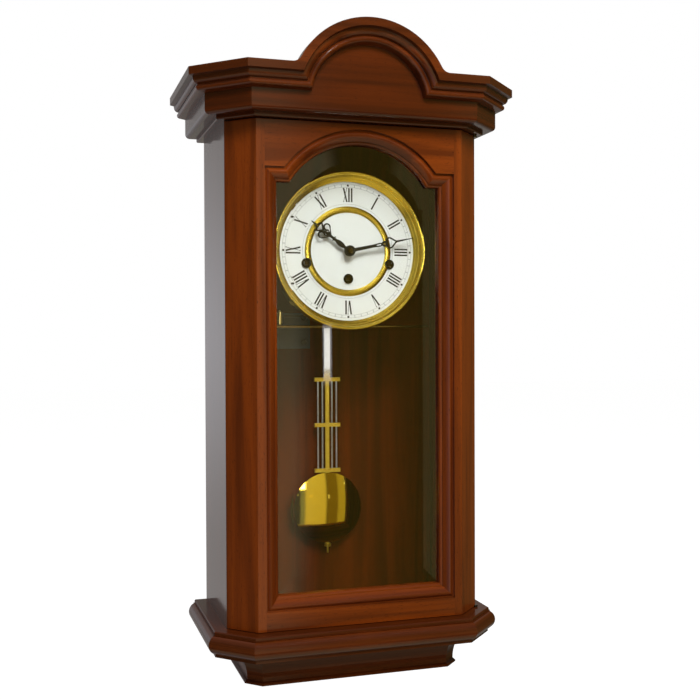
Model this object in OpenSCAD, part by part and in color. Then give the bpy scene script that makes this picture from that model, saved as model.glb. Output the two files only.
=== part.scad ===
// Chiming wall clock: canted wooden case with an arched crown, a glazed door hinged on the right,
// a key-wound three-train movement behind a round dial, a gridiron-style pendulum and chime rods.
// X runs to the right seen from the front, the front faces -Y, the wall is the plane y = 0, and the
// origin is the hanging hole at the top of the back.

/* [Case] */
// Width of the case across its sides
case_w = 294.4; // [270:0.2:320]
// Depth from the wall to the front of the closed door
case_d = 164.2; // [150:0.2:190]
// Length of the 45 degree cant, along X and along Y
cant = 29; // [20:0.5:40]
// Thickness of the side boards
side_t = 12; // [8:0.5:14]
// Thickness of the back panel
back_t = 6; // [4:0.5:9]
// Depth that the back panel is let in from the wall
back_set = 2; // [2:0.5:4]
// Height of the cove-sided pedestal block
pedestal_h = 36.5; // [25:0.5:60]
// Height of the moulded plinth under the door
plinth_h = 28; // [24:0.5:45]
// How far the plinth's bullnose stands out of the case
plinth_out = 21.5; // [16:0.5:28]
// Height of the closed door
door_h = 549.5; // [530:0.5:620]
// Running gap above and below the door
door_gap = 1; // [0.5:0.1:2]
// Height of the frieze above the door
frieze_h = 48; // [42:0.5:60]
// How far the frieze stands out of the case
frieze_out = 22.4; // [16:0.2:28]
// Thickness of the top board
top_t = 12; // [8:0.5:14]

/* [Crown] */
// How far the crown's top edge stands out of the case
crown_out = 40.4; // [36:0.2:50]
// Height of the crown moulding, and its width round the arch
crown_h = 25; // [22:0.5:30]
// Radius of the arch's outer edge
arch_r = 89; // [84:0.5:96]
// Height of the arch's centre below the crown's straight top edge
arch_drop = 36.5; // [30:0.5:42]
// Radius of the small hollow where the arch meets the straight edge
arch_foot_r = 11; // [6:0.5:14]

/* [Door] */
// Width of the glass opening between the stiles
sight_w = 187.6; // [170:0.2:196]
// Width of the moulding round the glass opening
sticking_w = 15.2; // [13:0.2:18]
// Height of the bottom rail up to the glass opening
bottom_rail_h = 35.5; // [28:0.5:60]
// Height of the glass opening's shoulders above the door's bottom edge
shoulder_h = 484.3; // [470:0.5:500]
// Radius of the arched top of the glass opening
sight_arch_r = 93.2; // [92.5:0.2:97]
// Height of the opening's arch centre above the door's bottom edge
sight_arch_h = 435; // [425:0.5:440]
// Thickness of the glass
glass_t = 4; // [3:0.5:6]
// Depth of the glass seat behind the door's front
glass_set = 13; // [11:0.5:15]
// Width of the bevel round the glass
bevel_w = 18; // [8:0.5:22]
// Length of a pivot hinge's leaf
hinge_l = 36; // [30:1:38]
// Thickness of a pivot hinge's leaf
leaf_t = 1.4; // [1:0.1:2]
// Outer radius of the hinge's eye
eye_r = 2.8; // [2.4:0.1:3.2]
// Radius of the hinge pin
hinge_pin_r = 1.3; // [0.8:0.1:1.5]

/* [Dial] */
// Height of the hands' axis above the foot of the clock
hands_h = 480; // [470:1:495]
// Distance of the dial's face from the wall
dial_y = 110; // [108:0.5:116]
// Outer radius of the bezel
bezel_r = 90; // [84:0.5:92]
// Radius of the dial that shows inside the bezel
dial_show_r = 79.5; // [77:0.5:81]
// How far the bezel's rim stands in front of the dial
bezel_h = 13; // [9:0.5:15]
// Outer radius of the brass ring on the dial
ring_r = 51.4; // [48:0.2:54]
// Radial width of the brass ring on the dial
ring_w = 7.1; // [5:0.1:9]
// Distance of the outer winding holes from the hands' axis, along X
wind_x = 49.7; // [48:0.1:52]
// Drop of the outer winding holes below the hands' axis
wind_drop = 14.3; // [12:0.1:17]
// Drop of the middle winding hole below the hands' axis
wind_mid_drop = 31.5; // [30:0.1:34]
// Radius of the black rim round a winding hole
grommet_r = 5.7; // [5:0.1:7]
// Across the flats of a winding square
square_w = 4; // [3:0.1:4.5]
// Length of the minute hand from its axis to its tip
minute_l = 79; // [68:0.5:79]
// Length of the hour hand from its axis to its tip
hour_l = 56; // [50:0.5:62]
// Minutes past the hour that the hands show
show_min = 13; // [0:0.1:60]
// Hour that the hands show
show_hour = 10; // [0:1:11]

/* [Movement] */
// Distance from the wall to the back of the back plate
back_plate_y = 42; // [40:0.5:46]
// Space between the two plates
plate_gap = 54; // [52:0.5:57]
// Thickness of each plate
plate_t = 2; // [1.5:0.1:2.5]
// Radius of the spring barrels
barrel_r = 22; // [18:0.5:23.5]
// Teeth of a barrel's great wheel
great_teeth = 72; // [60:1:72]
// Radial clearance of a turning shaft in its hole
run = 0.05; // [0.02:0.01:0.1]
// Radius of the pivots in the plates
pivot_r = 1; // [0.6:0.1:1.4]
// Radius of the winding arbors
wind_arbor_r = 3; // [2.9:0.1:3.6]
// Teeth of the escape wheel
escape_teeth = 32; // [28:1:36]
// Tip radius of the escape wheel
escape_r = 12; // [9:0.5:13]

/* [Pendulum] */
// Distance from the wall to the middle of the pendulum
pendulum_y = 20; // [18:0.5:24]
// Height of the bob's middle above the foot of the clock
bob_h = 171; // [150:1:190]
// Diameter of the bob
bob_d = 86.4; // [60:0.2:90]
// Thickness of the bob
bob_t = 12; // [8:0.5:14]
// Width of the bright strip above the grid
strip_w = 7.6; // [5:0.1:9]
// Thickness of the pendulum's strip and bar
strip_t = 1.6; // [1:0.1:2.5]
// Gap between the lowest crossbar of the grid and the bob
grid_gap = 0.6; // [0.4:0.1:6]
// Distance between two crossbars of the grid
grid_pitch = 56; // [40:0.5:60]
// Length of a crossbar
crossbar_l = 32.4; // [26:0.2:40]
// Height of a crossbar
crossbar_w = 4.8; // [3:0.1:5.5]
// Diameter of the grid's steel rods
grid_rod_d = 2.2; // [1.5:0.1:3]
// Distance from the middle to the inner and the outer steel rods
grid_rods = [6, 11.8]; // [4:0.1:14]

/* [Chime] */
// Height of the chime rods above the foot of the clock
rods_h = 394; // [388:0.5:396]
// Diameter of a chime rod
chime_rod_d = 3; // [2:0.1:4]
// Distance between two chime rods
rod_pitch = 7; // [6:0.1:8]
// Distance from the wall to the chime rod nearest to it
first_rod_y = 60; // [57:0.5:63]
// Length of the longest chime rod in front of its block
long_rod_l = 201; // [150:1:205]
// How much shorter each next rod is
rod_step = 13; // [5:0.5:25]
// Diameter of a hammer head
head_d = 6.4; // [5:0.1:6.8]
// Length of a hammer head
head_l = 13; // [8:0.5:15]
// Gap between a resting hammer's tip and its rod
strike_gap = 0.6; // [0.3:0.1:1.5]

/* [Hidden] */
$fn = 96;

eps = 0.02;
// Half the thickness of a glue line between two mitred pieces
glue = 0.03;
half_w = case_w / 2;
// A mitred moulding that stands out by e moves a 45 degree corner along its face by e times this.
corner_k = tan(22.5);

// Levels, from the hanging hole down to the foot and up to the crown
hang_h = pedestal_h + plinth_h + door_h + 2 * door_gap + 16;
foot_z = -hang_h;
plinth_z = foot_z + pedestal_h;
ledge_z = plinth_z + plinth_h;
door_z = ledge_z + door_gap;
door_top_z = door_z + door_h;
frieze_z = door_top_z + door_gap;
frieze_top_z = frieze_z + frieze_h;
crown_top_z = frieze_top_z + 3.5;
crown_z = crown_top_z - crown_h;
arch_z = crown_top_z - arch_drop;
side_top_z = frieze_z;
door_back_y = -(case_d - cant);
side_front_y = door_back_y + 0.3;
hands_z = foot_z + hands_h;
// Drop of the movement plates' lower edge below the hands
plate_low = 66;

// Colours
mahogany = "#6f3219";
brass = "#b8942e";
steel = "#b9bcc0";
dark_iron = "#474b42";
black = "#202418";

// Outline of the case seen from above, moved out by e; the wall is its open side
module plan(e) {
    polygon([[-(half_w + e), 0], [-(half_w + e), -(case_d - cant + corner_k * e)],
        [-(half_w - cant + corner_k * e), -(case_d + e)], [half_w - cant + corner_k * e, -(case_d + e)],
        [half_w + e, -(case_d - cant + corner_k * e)], [half_w + e, 0]]);
}

// Solid whose five faces all have the same profile: points are [stand-out e, height z],
// and the profile is closed through the middle of the case.
module moulded(points) {
    reach = 2 * case_w;
    section = concat([[-reach, points[0][1]]], points, [[-reach, points[len(points) - 1][1]]]);
    faces = [[180, half_w, 0], [0, half_w, 0], [-90, case_d, 0],
        [-45, half_w - cant, case_d], [-135, half_w - cant, case_d]];
    difference() {
        intersection_for(f = faces) {
            along = f[2] == 0 ? 0 : 1;
            base = along == 0 ? [0, 0, 0] : [(f[0] == -45 ? 1 : -1) * f[1], -f[2], 0];
            translate(base) rotate([0, 0, f[0]])
                translate([along == 0 ? f[1] : 0, reach, 0]) rotate([90, 0, 0])
                    linear_extrude(2 * reach) polygon(section);
        }
        translate([-reach, 0, foot_z - reach]) cube([2 * reach, reach, 3 * reach]);
    }
}

// Strip of moulding along one face: X runs along the face from x0 to x1 and -Y out of the case.
// points are [stand-out e, height z] of the closed section, and each end opens outwards by its slope.
module strip(points, x0, x1, slope0, slope1) {
    near = -side_t - 1;
    far = crown_out + 1;
    intersection() {
        translate([x0 - far, 0, 0]) rotate([90, 0, 90]) linear_extrude(x1 - x0 + 2 * far)
            polygon([for (p = points) [-p[0], p[1]]]);
        translate([0, 0, foot_z]) linear_extrude(crown_top_z - foot_z + 1) polygon([
            [x0 - slope0 * near + glue, -near], [x0 - slope0 * far + glue, -far],
            [x1 + slope1 * far - glue, -far], [x1 + slope1 * near - glue, -near]]);
    }
}
// Strips round the case, mitred at its corners with a hair of glue line
module strips(points) {
    side_l = case_d - cant;
    translate([0, -case_d, 0]) strip(points, cant - half_w, half_w - cant, corner_k, corner_k);
    for (s = [0, 1]) mirror([s, 0, 0]) {
        translate([-half_w, 0, 0]) rotate([0, 0, -90]) strip(points, -glue, side_l, 0, corner_k);
        translate([-half_w, -side_l, 0]) rotate([0, 0, -45])
            strip(points, 0, cant * sqrt(2), corner_k, corner_k);
    }
}

// Arc points round a centre, in [first, second] coordinates
function arc(c, r, a0, a1, n) = [for (i = [0:n])
    let (a = a0 + (a1 - a0) * i / n) [c[0] + r * cos(a), c[1] + r * sin(a)]];

// Direction from one point to another, in degrees
function bearing(from, to) = atan2(to[1] - from[1], to[0] - from[0]);

// Plate in the XZ plane: 2D shape seen from the front, from y_front back by t
module upright(y_front, t) {
    translate([0, y_front + t, 0]) rotate([90, 0, 0]) linear_extrude(t) children();
}
// Round bar along Y between two distances from the wall
module along_y(x, z, y0, y1, r) {
    translate([x, -min(y0, y1), z]) rotate([90, 0, 0]) cylinder(h = abs(y1 - y0), r = r);
}

// CASE

hanger_w = 60;
hanger_d = 32;
hanger_hole_r = 4.5;
head_room_r = 9;
side_rebate = side_t / 2;
panel_front = back_set + back_t;

module back_panel() {
    color(mahogany) difference() {
        translate([-(half_w - side_rebate), -panel_front, ledge_z])
            cube([2 * (half_w - side_rebate), back_t, frieze_top_z - top_t - ledge_z]);
        along_y(0, 0, 0, panel_front + 1, head_room_r);
        for (s = wood_screws_y) along_y(s[0], s[1], 0, panel_front + 1, screw_r);
        for (s = [-1, 1]) along_y(s * hanger_screw_x, 0, 0, panel_front - 1, screw_r);
        // The panel passes between the frieze's ends
        for (s = [-1, 1]) translate([s * (half_w - side_t / 2 + 0.01), -panel_front - 1, frieze_z])
            translate([-side_t / 2, 0, 0]) cube([side_t, back_t + 3, frieze_h]);
    }
}

module side_board() {
    difference() {
        translate([half_w - side_t, side_front_y, ledge_z])
            cube([side_t, -side_front_y, side_top_z - ledge_z]);
        translate([half_w - side_t - 1, -panel_front, ledge_z - 1])
            cube([side_t - side_rebate + 1, panel_front + 1, side_top_z - ledge_z + 2]);
    }
}
module left_side() {
    color(mahogany) difference() {
        mirror([1, 0, 0]) side_board();
        catch_screws(screw_r);
    }
}
module right_side() {
    color(mahogany) difference() {
        side_board();
        hinge_pockets(case_side = true);
    }
}

module top_board() {
    color(mahogany) translate([0, 0, frieze_top_z - top_t]) linear_extrude(top_t) plan(-side_t);
}

fillet_out = 14.6;
fillet_drop = 3.6;
module plinth() {
    round_r = plinth_h * 0.39;
    color(mahogany) difference() {
        moulded(concat(
            [[fillet_out - 1, plinth_z], [fillet_out - 1, plinth_z + 3]],
            arc([plinth_out - round_r, plinth_z + 3 + round_r], round_r, -70, 62, 12),
            [[fillet_out + 1.6, ledge_z - fillet_drop], [fillet_out, ledge_z - fillet_drop],
                [fillet_out, ledge_z - 1], [fillet_out - 1, ledge_z]]));
        hinge_pockets(case_side = true);
        hinge_screws(case_side = true);
    }
}

foot_in = 21.5;
cove_in = 24.5;
pedestal_in = 8;
module pedestal() {
    color(mahogany) moulded(concat(
        [[-foot_in, foot_z], [-foot_in, foot_z + 1.6], [-foot_in - 1, foot_z + 2.6]],
        [for (i = [0:10]) let (s = i / 10)
            [-cove_in + (cove_in - pedestal_in) * (1 - cos(90 * s)),
                foot_z + 4 + (pedestal_h - 6) * sin(90 * s)]],
        [[-pedestal_in, foot_z + pedestal_h - 1], [-pedestal_in, plinth_z]]));
}

frieze_round = 5;
frieze_step = 4;
frieze_bead_out = 9;
module frieze() {
    round_c = [frieze_out - frieze_round, frieze_z + frieze_step + frieze_round];
    color(mahogany) difference() {
        union() {
            strips(concat([[-side_t, frieze_z], [frieze_bead_out - 1, frieze_z],
                [frieze_bead_out, frieze_z + 1],
                    [frieze_bead_out, frieze_z + frieze_step]],
                arc(round_c, frieze_round, -90, 0, 6),
                [[frieze_out, frieze_top_z], [-side_t, frieze_top_z]]));
            // Arched board behind the arch moulding
            upright(-(case_d + frieze_out), side_t) difference() {
                translate([0, arch_z]) circle(r = arch_r - crown_h / 3);
                translate([-arch_r, arch_z - 2 * arch_r]) square([2 * arch_r, 2 * arch_r]);
            }
        }
        hinge_pockets(case_side = true);
        hinge_screws(case_side = true);
    }
}

// Section of the crown moulding: [stand-out, height below the top edge]
function crown_section() = concat(
    [[crown_out, 0], [crown_out, 8.6], [crown_out - 4.4, 9.6]],
    [for (i = [0:6]) let (a = 15 * i) [crown_out - 9.4 + 5 * cos(a) - 0.2, 11 + 5.6 * sin(a)]],
    [[frieze_out + 8.2, crown_h - 8]],
    arc([frieze_out + 6.4, crown_h - 4.6], 3.4, -58, 90, 8),
    [[frieze_out, crown_h]]);

// The arch meets the straight runs in mitres too: half width of the mitre, d below the crown's top,
// and shift moves it along X.
function mitre_x(d) = sqrt(pow(arch_r - d, 2) - pow(arch_drop - d, 2));
function mitre_line(shift) = [for (i = [0:5])
    let (d = crown_h * i / 5) [mitre_x(d) + shift, crown_top_z - d]];
function flipped(points) = [for (i = [len(points) - 1:-1:0]) [-points[i][0], points[i][1]]];

module crown_moulding() {
    section = crown_section();
    low_first = [for (i = [len(section) - 1:-1:0]) [section[i][0], crown_top_z - section[i][1]]];
    depth = crown_out - frieze_out;
    cut_y = -(case_d + crown_out) - 1;
    cut_t = depth + 2;
    outer = mitre_line(glue);
    inner = mitre_line(-glue);
    // Middle of the hollow at the arch's foot, and the direction in which it touches the arch
    foot_c = [sqrt(pow(arch_r + arch_foot_r, 2) - pow(arch_drop + arch_foot_r, 2)),
        crown_top_z + arch_foot_r];
    foot_a = bearing([0, arch_z], foot_c);
    hollow = arc(foot_c, arch_foot_r, -96, foot_a - 180, 8);
    color(mahogany) {
        difference() {
            strips(concat(low_first, [[frieze_out, crown_top_z]]));
            upright(cut_y, cut_t) polygon(concat([[outer[0][0], crown_top_z + 1]], outer,
                [[outer[5][0], crown_z - 1], [-outer[5][0], crown_z - 1]], flipped(outer),
                [[-outer[0][0], crown_top_z + 1]]));
        }
        intersection() {
            translate([0, 0, arch_z]) rotate([90, 0, 0]) rotate_extrude()
                polygon([for (p = concat([[frieze_out, 0]], section)) [arch_r - p[1], case_d + p[0]]]);
            upright(cut_y, cut_t) polygon(concat(inner, flipped(inner),
                [[-2 * arch_r, crown_top_z + arch_r], [2 * arch_r, crown_top_z + arch_r]]));
        }
        for (s = [0, 1]) mirror([s, 0, 0]) upright(-(case_d + crown_out), depth)
            polygon(concat(hollow, [[(arch_r - 5) * cos(foot_a), arch_z + (arch_r - 5) * sin(foot_a)],
                [mitre_x(0) - 2, crown_top_z + glue], [hollow[0][0], crown_top_z + glue]]));
    }
}

hanger_screw_x = hanger_w * 0.38;
screw_r = 1.9;
screw_head_r = 4;
screw_head_t = 2;
module hanger_plate() {
    color(steel) difference() {
        translate([-hanger_w / 2, -back_set, -hanger_d / 2]) cube([hanger_w, back_set, hanger_d]);
        along_y(0, 0, -1, back_set + 1, hanger_hole_r);
        for (s = [-1, 1]) along_y(s * hanger_screw_x, 0, -1, back_set + 1, screw_r);
    }
}

// SCREWS: each wood screw is [x, z] on the back panel, its head's seat at distance seat from the wall
block_t = 12;
bracket_x = 24;
bracket_w = 12;
bracket_t = 2.5;
block_screw_x = -29;
block_screw_low = 18.5;
block_screw_high = 11.5;
block_screw_z = [foot_z + rods_h - block_screw_low, foot_z + rods_h + block_screw_high];
bracket_h = 48;
bracket_screw_up = 14;
bracket_screw_pitch = 22;
bracket_screw_z = [for (k = [0, 1]) hands_z - plate_low + bracket_screw_up + k * bracket_screw_pitch];
wood_screws_y = concat(
    [for (z = block_screw_z) [block_screw_x, z, panel_front + block_t]],
    [for (s = [-1, 1], z = bracket_screw_z) [s * bracket_x, z, panel_front + bracket_t]]);

module wood_screw(x, z, seat, tip) {
    along_y(x, z, tip, seat, screw_r);
    difference() {
        translate([x, -seat, z]) rotate([90, 0, 0])
            cylinder(h = screw_head_t, r1 = screw_head_r, r2 = screw_head_r * 0.7);
        translate([x - screw_head_r, -seat - screw_head_t - 1, z - 0.5]) cube([2 * screw_head_r, 1.8, 1]);
    }
}
module case_screws() {
    color(steel) {
        for (s = wood_screws_y) wood_screw(s[0], s[1], s[2], back_set + 0.5);
        // Hanger screws are driven from behind, heads flush with the plate
        for (s = [-1, 1]) along_y(s * hanger_screw_x, 0, 0, panel_front - 1, screw_r);
        hinge_screws(case_side = true);
        catch_screws(screw_r);
    }
}

// PIVOT HINGES above and below the door's right-hand edge: flat leaves, let into the wood, that lie
// along the cant, with an eye that stands just outside the corner
hinge_x = half_w + 0.4;
hinge_y = door_back_y + 0.2;
leaf_w = 7;
leaf_in = 1.2;
hinge_screw_r = 1.4;
hinge_screw_l = 9;
hinge_screw_u = [0.44, 0.82];
// Each hinge is [level of the door's edge, way from the door to the case]
hinges = [[door_z, -1], [door_top_z, 1]];

// Puts its children at a hinge: X runs along the cant, -Y into the case, and Z away from the door
module at_hinge(h) {
    translate([hinge_x, hinge_y, h[0]]) rotate([0, 0, 225]) mirror([0, 0, h[1] < 0 ? 1 : 0]) children();
}
// Outline of a leaf, grown by g
module leaf_outline(g) {
    circle(r = eye_r + g);
    polygon([[0, 2.4 + g], [5, -leaf_in + g], [hinge_l + g, -leaf_in + g],
        [hinge_l + g, -leaf_in - leaf_w - g],
        [leaf_w + 2.4, -leaf_in - leaf_w - g], [0, -g]]);
}
module leaf_screws(r, l) {
    for (k = hinge_screw_u) translate([k * hinge_l, -leaf_in - leaf_w / 2, 0]) cylinder(h = l, r = r);
}
module case_hinge_leaves() {
    color(brass) for (h = hinges) at_hinge(h) translate([0, 0, door_gap]) {
        difference() {
            linear_extrude(leaf_t) leaf_outline(0);
            translate([0, 0, -1]) leaf_screws(hinge_screw_r + eps, leaf_t + 2);
        }
        // Shoulder that the door's leaf turns on, and the pin
        translate([0, 0, 0.1 - door_gap]) cylinder(h = door_gap, r = 2);
        translate([0, 0, -door_gap - leaf_t]) cylinder(h = door_gap + leaf_t + 0.5, r = hinge_pin_r);
    }
}
module door_hinge_leaves() {
    color(brass) for (h = hinges) at_hinge(h) difference() {
        translate([0, 0, -leaf_t]) linear_extrude(leaf_t) leaf_outline(0);
        translate([0, 0, -leaf_t - 1]) leaf_screws(hinge_screw_r + eps, leaf_t + 2);
        translate([0, 0, -leaf_t - 1]) cylinder(h = leaf_t + 2, r = hinge_pin_r + run);
    }
}
// Pockets for the leaves in the wood of the case or the door
module hinge_pockets(case_side) {
    for (h = hinges) at_hinge(h) translate([0, 0, case_side ? door_gap - 1 : -leaf_t]) {
        linear_extrude(leaf_t + 1) leaf_outline(0.1);
        // Room for the door's eye, a little way into the moulding too
        if (case_side) translate([0, 0, -leaf_t - door_gap])
            cylinder(h = leaf_t + door_gap + 1.5, r = eye_r + 0.4);
    }
}
module hinge_screws(case_side) {
    for (h = hinges) at_hinge(h) translate([0, 0, case_side ? door_gap + 0.1 : -hinge_screw_l - 0.1])
        leaf_screws(hinge_screw_r, hinge_screw_l);
}

// MAGNETIC CATCH on the left-hand side, halfway up
catch_z = door_z + door_h * 0.47;
catch_w = 9;
catch_l = 36;
catch_d = 15;
module magnet_catch() {
    x0 = -(half_w - side_t);
    color("#d8d4c8") difference() {
        translate([x0, side_front_y, catch_z]) cube([catch_w, catch_d, catch_l]);
        catch_screws(screw_r + eps);
    }
}
module catch_screws(r) {
    for (k = [0.2, 0.8]) translate([-(half_w - side_t) + catch_w, side_front_y + catch_d / 2,
        catch_z + k * catch_l])
        rotate([0, -90, 0]) cylinder(h = catch_w + side_t * 0.6, r = r);
}
module catch_plate() {
    color(steel) difference() {
        translate([-(half_w - side_t), door_back_y - 1, catch_z]) cube([catch_w - 1, 1, catch_l]);
        catch_plate_screw(hinge_screw_r + eps);
    }
}
module catch_plate_screw(r) {
    translate([-(half_w - side_t) + catch_w / 2, door_back_y, catch_z + catch_l / 2])
        rotate([90, 0, 0]) cylinder(h = hinge_screw_l, r = r);
}

// DOOR

sight_x = sight_w / 2;
sight_z0 = door_z + bottom_rail_h;
shoulder_z = door_z + shoulder_h;
sight_arch_z = door_z + sight_arch_h;
rebate = 7;
glass_y = -(case_d - glass_set);

// Glass opening seen from the front, grown by g on all sides
module opening_shape(g) {
    translate([-(sight_x + g), sight_z0 - g]) square([2 * (sight_x + g), shoulder_z + g - sight_z0 + g]);
    intersection() {
        translate([0, sight_arch_z]) circle(r = sight_arch_r + g);
        translate([-sight_x, shoulder_z - 1]) square([2 * sight_x, sight_arch_r + g + case_w]);
    }
}

// Section of the moulding round the glass: [distance out from the sight edge, depth behind the front]
function sticking() = concat(
    [[sticking_w, -1], [sticking_w, 3], [sticking_w - 1.4, 3]],
    [[sticking_w - 3.6, 1.4]],
    [for (i = [0:7]) let (s = i / 7) [sticking_w - 4.6 - (sticking_w - 8) * s,
        1.2 + 5.2 * (1 - cos(90 * s))]],
    [[3.4, 8]],
    [for (i = [0:4]) let (a = 90 * i / 4) [3.2 * (1 - sin(a)), 8 + 3.4 * (1 - cos(a))]],
    [[0, glass_set + 1], [-1, glass_set + 1], [-1, -1]]);

// Space that the moulding's cutter takes out of the door's front
module sticking_cut() {
    s = sticking();
    w = sight_x + sticking_w;
    // Two upright runs, then the bottom run, mitred
    for (k = [0, 1]) mirror([k, 0, 0]) intersection() {
        translate([sight_x, 0, sight_z0 - 50]) linear_extrude(shoulder_z - sight_z0 + 100)
            polygon([for (p = s) [p[0], -(case_d - p[1])]]);
        upright(-case_d - 2, glass_set + 5)
            polygon([[sight_x - 2, sight_z0 - 2 + 4], [sight_x - 2, shoulder_z - 2],
            [sight_x - 2 + 2, shoulder_z], [w + 2, shoulder_z + sticking_w + 2],
            [w + 2, sight_z0 - sticking_w - 2], [sight_x, sight_z0]]);
    }
    intersection() {
        translate([-w - 2, 0, sight_z0]) rotate([90, 0, 90]) linear_extrude(2 * w + 4)
            polygon([for (p = s) [-(case_d - p[1]), -p[0]]]);
        upright(-case_d - 2, glass_set + 5) polygon([[-sight_x + 2, sight_z0 + 2], [-sight_x, sight_z0],
            [-w - 2, sight_z0 - sticking_w - 2], [w + 2, sight_z0 - sticking_w - 2], [sight_x, sight_z0],
            [sight_x - 2, sight_z0 + 2]]);
    }
    // Shoulders and arch
    mid_h = shoulder_z - sight_arch_z;
    mitre_in = sqrt(sight_arch_r * sight_arch_r - mid_h * mid_h);
    mitre_out = sqrt(pow(sight_arch_r + sticking_w, 2) - pow(mid_h + sticking_w, 2));
    intersection() {
        translate([-w, 0, shoulder_z]) rotate([90, 0, 90]) linear_extrude(2 * w)
            polygon([for (p = s) [-(case_d - p[1]), p[0]]]);
        upright(-case_d - 2, glass_set + 5) for (k = [0, 1]) mirror([k, 0])
            polygon([[mitre_in - eps, shoulder_z - 2], [mitre_in - eps, shoulder_z],
                [mitre_out - eps, shoulder_z + sticking_w],
                [mitre_out + 1, shoulder_z + sticking_w + 1], [w + 1, shoulder_z + sticking_w + 1],
                [sight_x, shoulder_z], [sight_x, shoulder_z - 2]]);
    }
    intersection() {
        translate([0, 0, sight_arch_z]) rotate([90, 0, 0]) rotate_extrude()
            polygon([for (p = s) [sight_arch_r + p[0], case_d - p[1]]]);
        upright(-case_d - 2, glass_set + 5)
            polygon([[-mitre_in - eps, shoulder_z], [mitre_in + eps, shoulder_z],
            [mitre_out + eps, shoulder_z + sticking_w], [mitre_out + 2, shoulder_z + sticking_w + 2],
            [mitre_out + 2, shoulder_z + 200], [-mitre_out - 2, shoulder_z + 200],
            [-mitre_out - 2, shoulder_z + sticking_w + 2], [-mitre_out - eps, shoulder_z + sticking_w]]);
    }
}

// Whole door frame in one, before it is parted into stiles and rails
module door_frame() {
    difference() {
        translate([0, 0, door_z]) linear_extrude(door_h) polygon([[-(half_w - 0.2), door_back_y],
            [-(half_w - cant), -case_d], [half_w - cant, -case_d], [half_w - 0.2, door_back_y]]);
        upright(-case_d - 1, cant + 2) opening_shape(0);
        upright(glass_y, cant) opening_shape(rebate);
        sticking_cut();
        hinge_pockets(case_side = false);
        hinge_screws(case_side = false);
        translate([-(half_w - side_t), door_back_y - 1, catch_z]) cube([catch_w - 1, 2, catch_l]);
        catch_plate_screw(hinge_screw_r);
    }
}
// Parting line: the stile keeps its moulding up to the mitres and its flat beyond them
module stile_area() {
    w = sight_x + sticking_w;
    polygon([[sight_x - 1, sight_z0 - 1 + 2], [sight_x - 1, shoulder_z - 1], [w, shoulder_z + sticking_w],
        [w, door_top_z + 1], [half_w + 1, door_top_z + 1], [half_w + 1, door_z - 1], [w, door_z - 1],
        [w, sight_z0 - sticking_w], [sight_x, sight_z0]]);
}
module door_left_stile() {
    color(mahogany) intersection() {
        door_frame();
        mirror([1, 0, 0]) upright(-case_d - 1, cant + 2) stile_area();
    }
}
module door_right_stile() {
    color(mahogany) intersection() {
        door_frame();
        upright(-case_d - 1, cant + 2) stile_area();
    }
}
module rail_area(z0, z1) {
    difference() {
        translate([-half_w, z0]) square([case_w, z1 - z0]);
        stile_area();
        mirror([1, 0]) stile_area();
    }
}
module door_top_rail() {
    color(mahogany) intersection() {
        door_frame();
        upright(-case_d - 1, cant + 2) rail_area(sight_arch_z, door_top_z + 1);
    }
}
module door_bottom_rail() {
    color(mahogany) intersection() {
        door_frame();
        upright(-case_d - 1, cant + 2) rail_area(door_z - 1, sight_arch_z);
    }
}

glass_fit = 0.5;
bevel_drop = 1.4;
module door_glass() {
    w = sight_x + rebate - glass_fit;
    z0 = sight_z0 - rebate + glass_fit;
    z1 = shoulder_z + rebate - glass_fit;
    r = sight_arch_r + rebate - glass_fit;
    inner_w = sight_x - bevel_w;
    // The front face is bevelled: straight edges by wedges, the arch by a cone
    color([0.75, 0.85, 0.85, 0.35]) difference() {
        upright(glass_y + eps, glass_t) {
            translate([-w, z0]) square([2 * w, z1 - z0]);
            intersection() {
                translate([0, sight_arch_z]) circle(r = r);
                translate([-sight_x, shoulder_z - 1]) square([2 * sight_x, 2 * r]);
            }
        }
        for (k = [0, 1]) mirror([k, 0, 0]) translate([0, 0, z0 - 1]) linear_extrude(z1 - z0 + 2)
            polygon([[inner_w, glass_y - 1], [inner_w, glass_y + eps], [w + 1, glass_y + bevel_drop],
                [w + 1, glass_y - 1]]);
        translate([-w - 1, 0, 0]) rotate([90, 0, 90]) linear_extrude(2 * w + 2)
            polygon([[glass_y - 1, sight_z0 + bevel_w], [glass_y + eps, sight_z0 + bevel_w],
                [glass_y + bevel_drop, z0 - 1], [glass_y - 1, z0 - 1]]);
        difference() {
            translate([0, 0, sight_arch_z]) rotate([90, 0, 0]) rotate_extrude()
                polygon([[sight_arch_r - bevel_w, -glass_y - eps], [r + 1, -glass_y - bevel_drop],
                    [r + 1, -glass_y + 1], [sight_arch_r - bevel_w, -glass_y + 1]]);
            translate([-case_w, glass_y - 2, sight_arch_z - case_w])
                cube([2 * case_w, glass_t + 4, case_w + 25]);
        }
    }
}

strip_w2 = 6;
strip_d = 6;
module glazing_strips() {
    y0 = glass_y + glass_t + 2 * eps;
    w = sight_x + rebate - glass_fit;
    z0 = sight_z0 - rebate + glass_fit;
    z1 = shoulder_z + rebate - glass_fit;
    color(mahogany) {
        for (s = [-1, 1]) translate([s > 0 ? w - strip_w2 : -w, y0, z0])
            cube([strip_w2, strip_d, z1 - z0]);
        translate([-w + strip_w2 + eps, y0, z0]) cube([2 * (w - strip_w2 - eps), strip_d, strip_w2]);
        upright(y0, strip_d) intersection() {
            difference() {
                translate([0, sight_arch_z]) circle(r = sight_arch_r + rebate - glass_fit);
                translate([0, sight_arch_z]) circle(r = sight_arch_r + rebate - glass_fit - strip_w2);
            }
            translate([-sight_x * 0.78, shoulder_z + rebate + 1]) square([2 * sight_x * 0.78, 200]);
        }
    }
}

module door_screws() {
    color(steel) {
        hinge_screws(case_side = false);
        catch_plate_screw(hinge_screw_r);
    }
}

// MOVEMENT
// Positions are [x, height above the hands' axis]. The left train chimes, the middle one drives the
// hands, and the right one strikes the hours.

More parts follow.
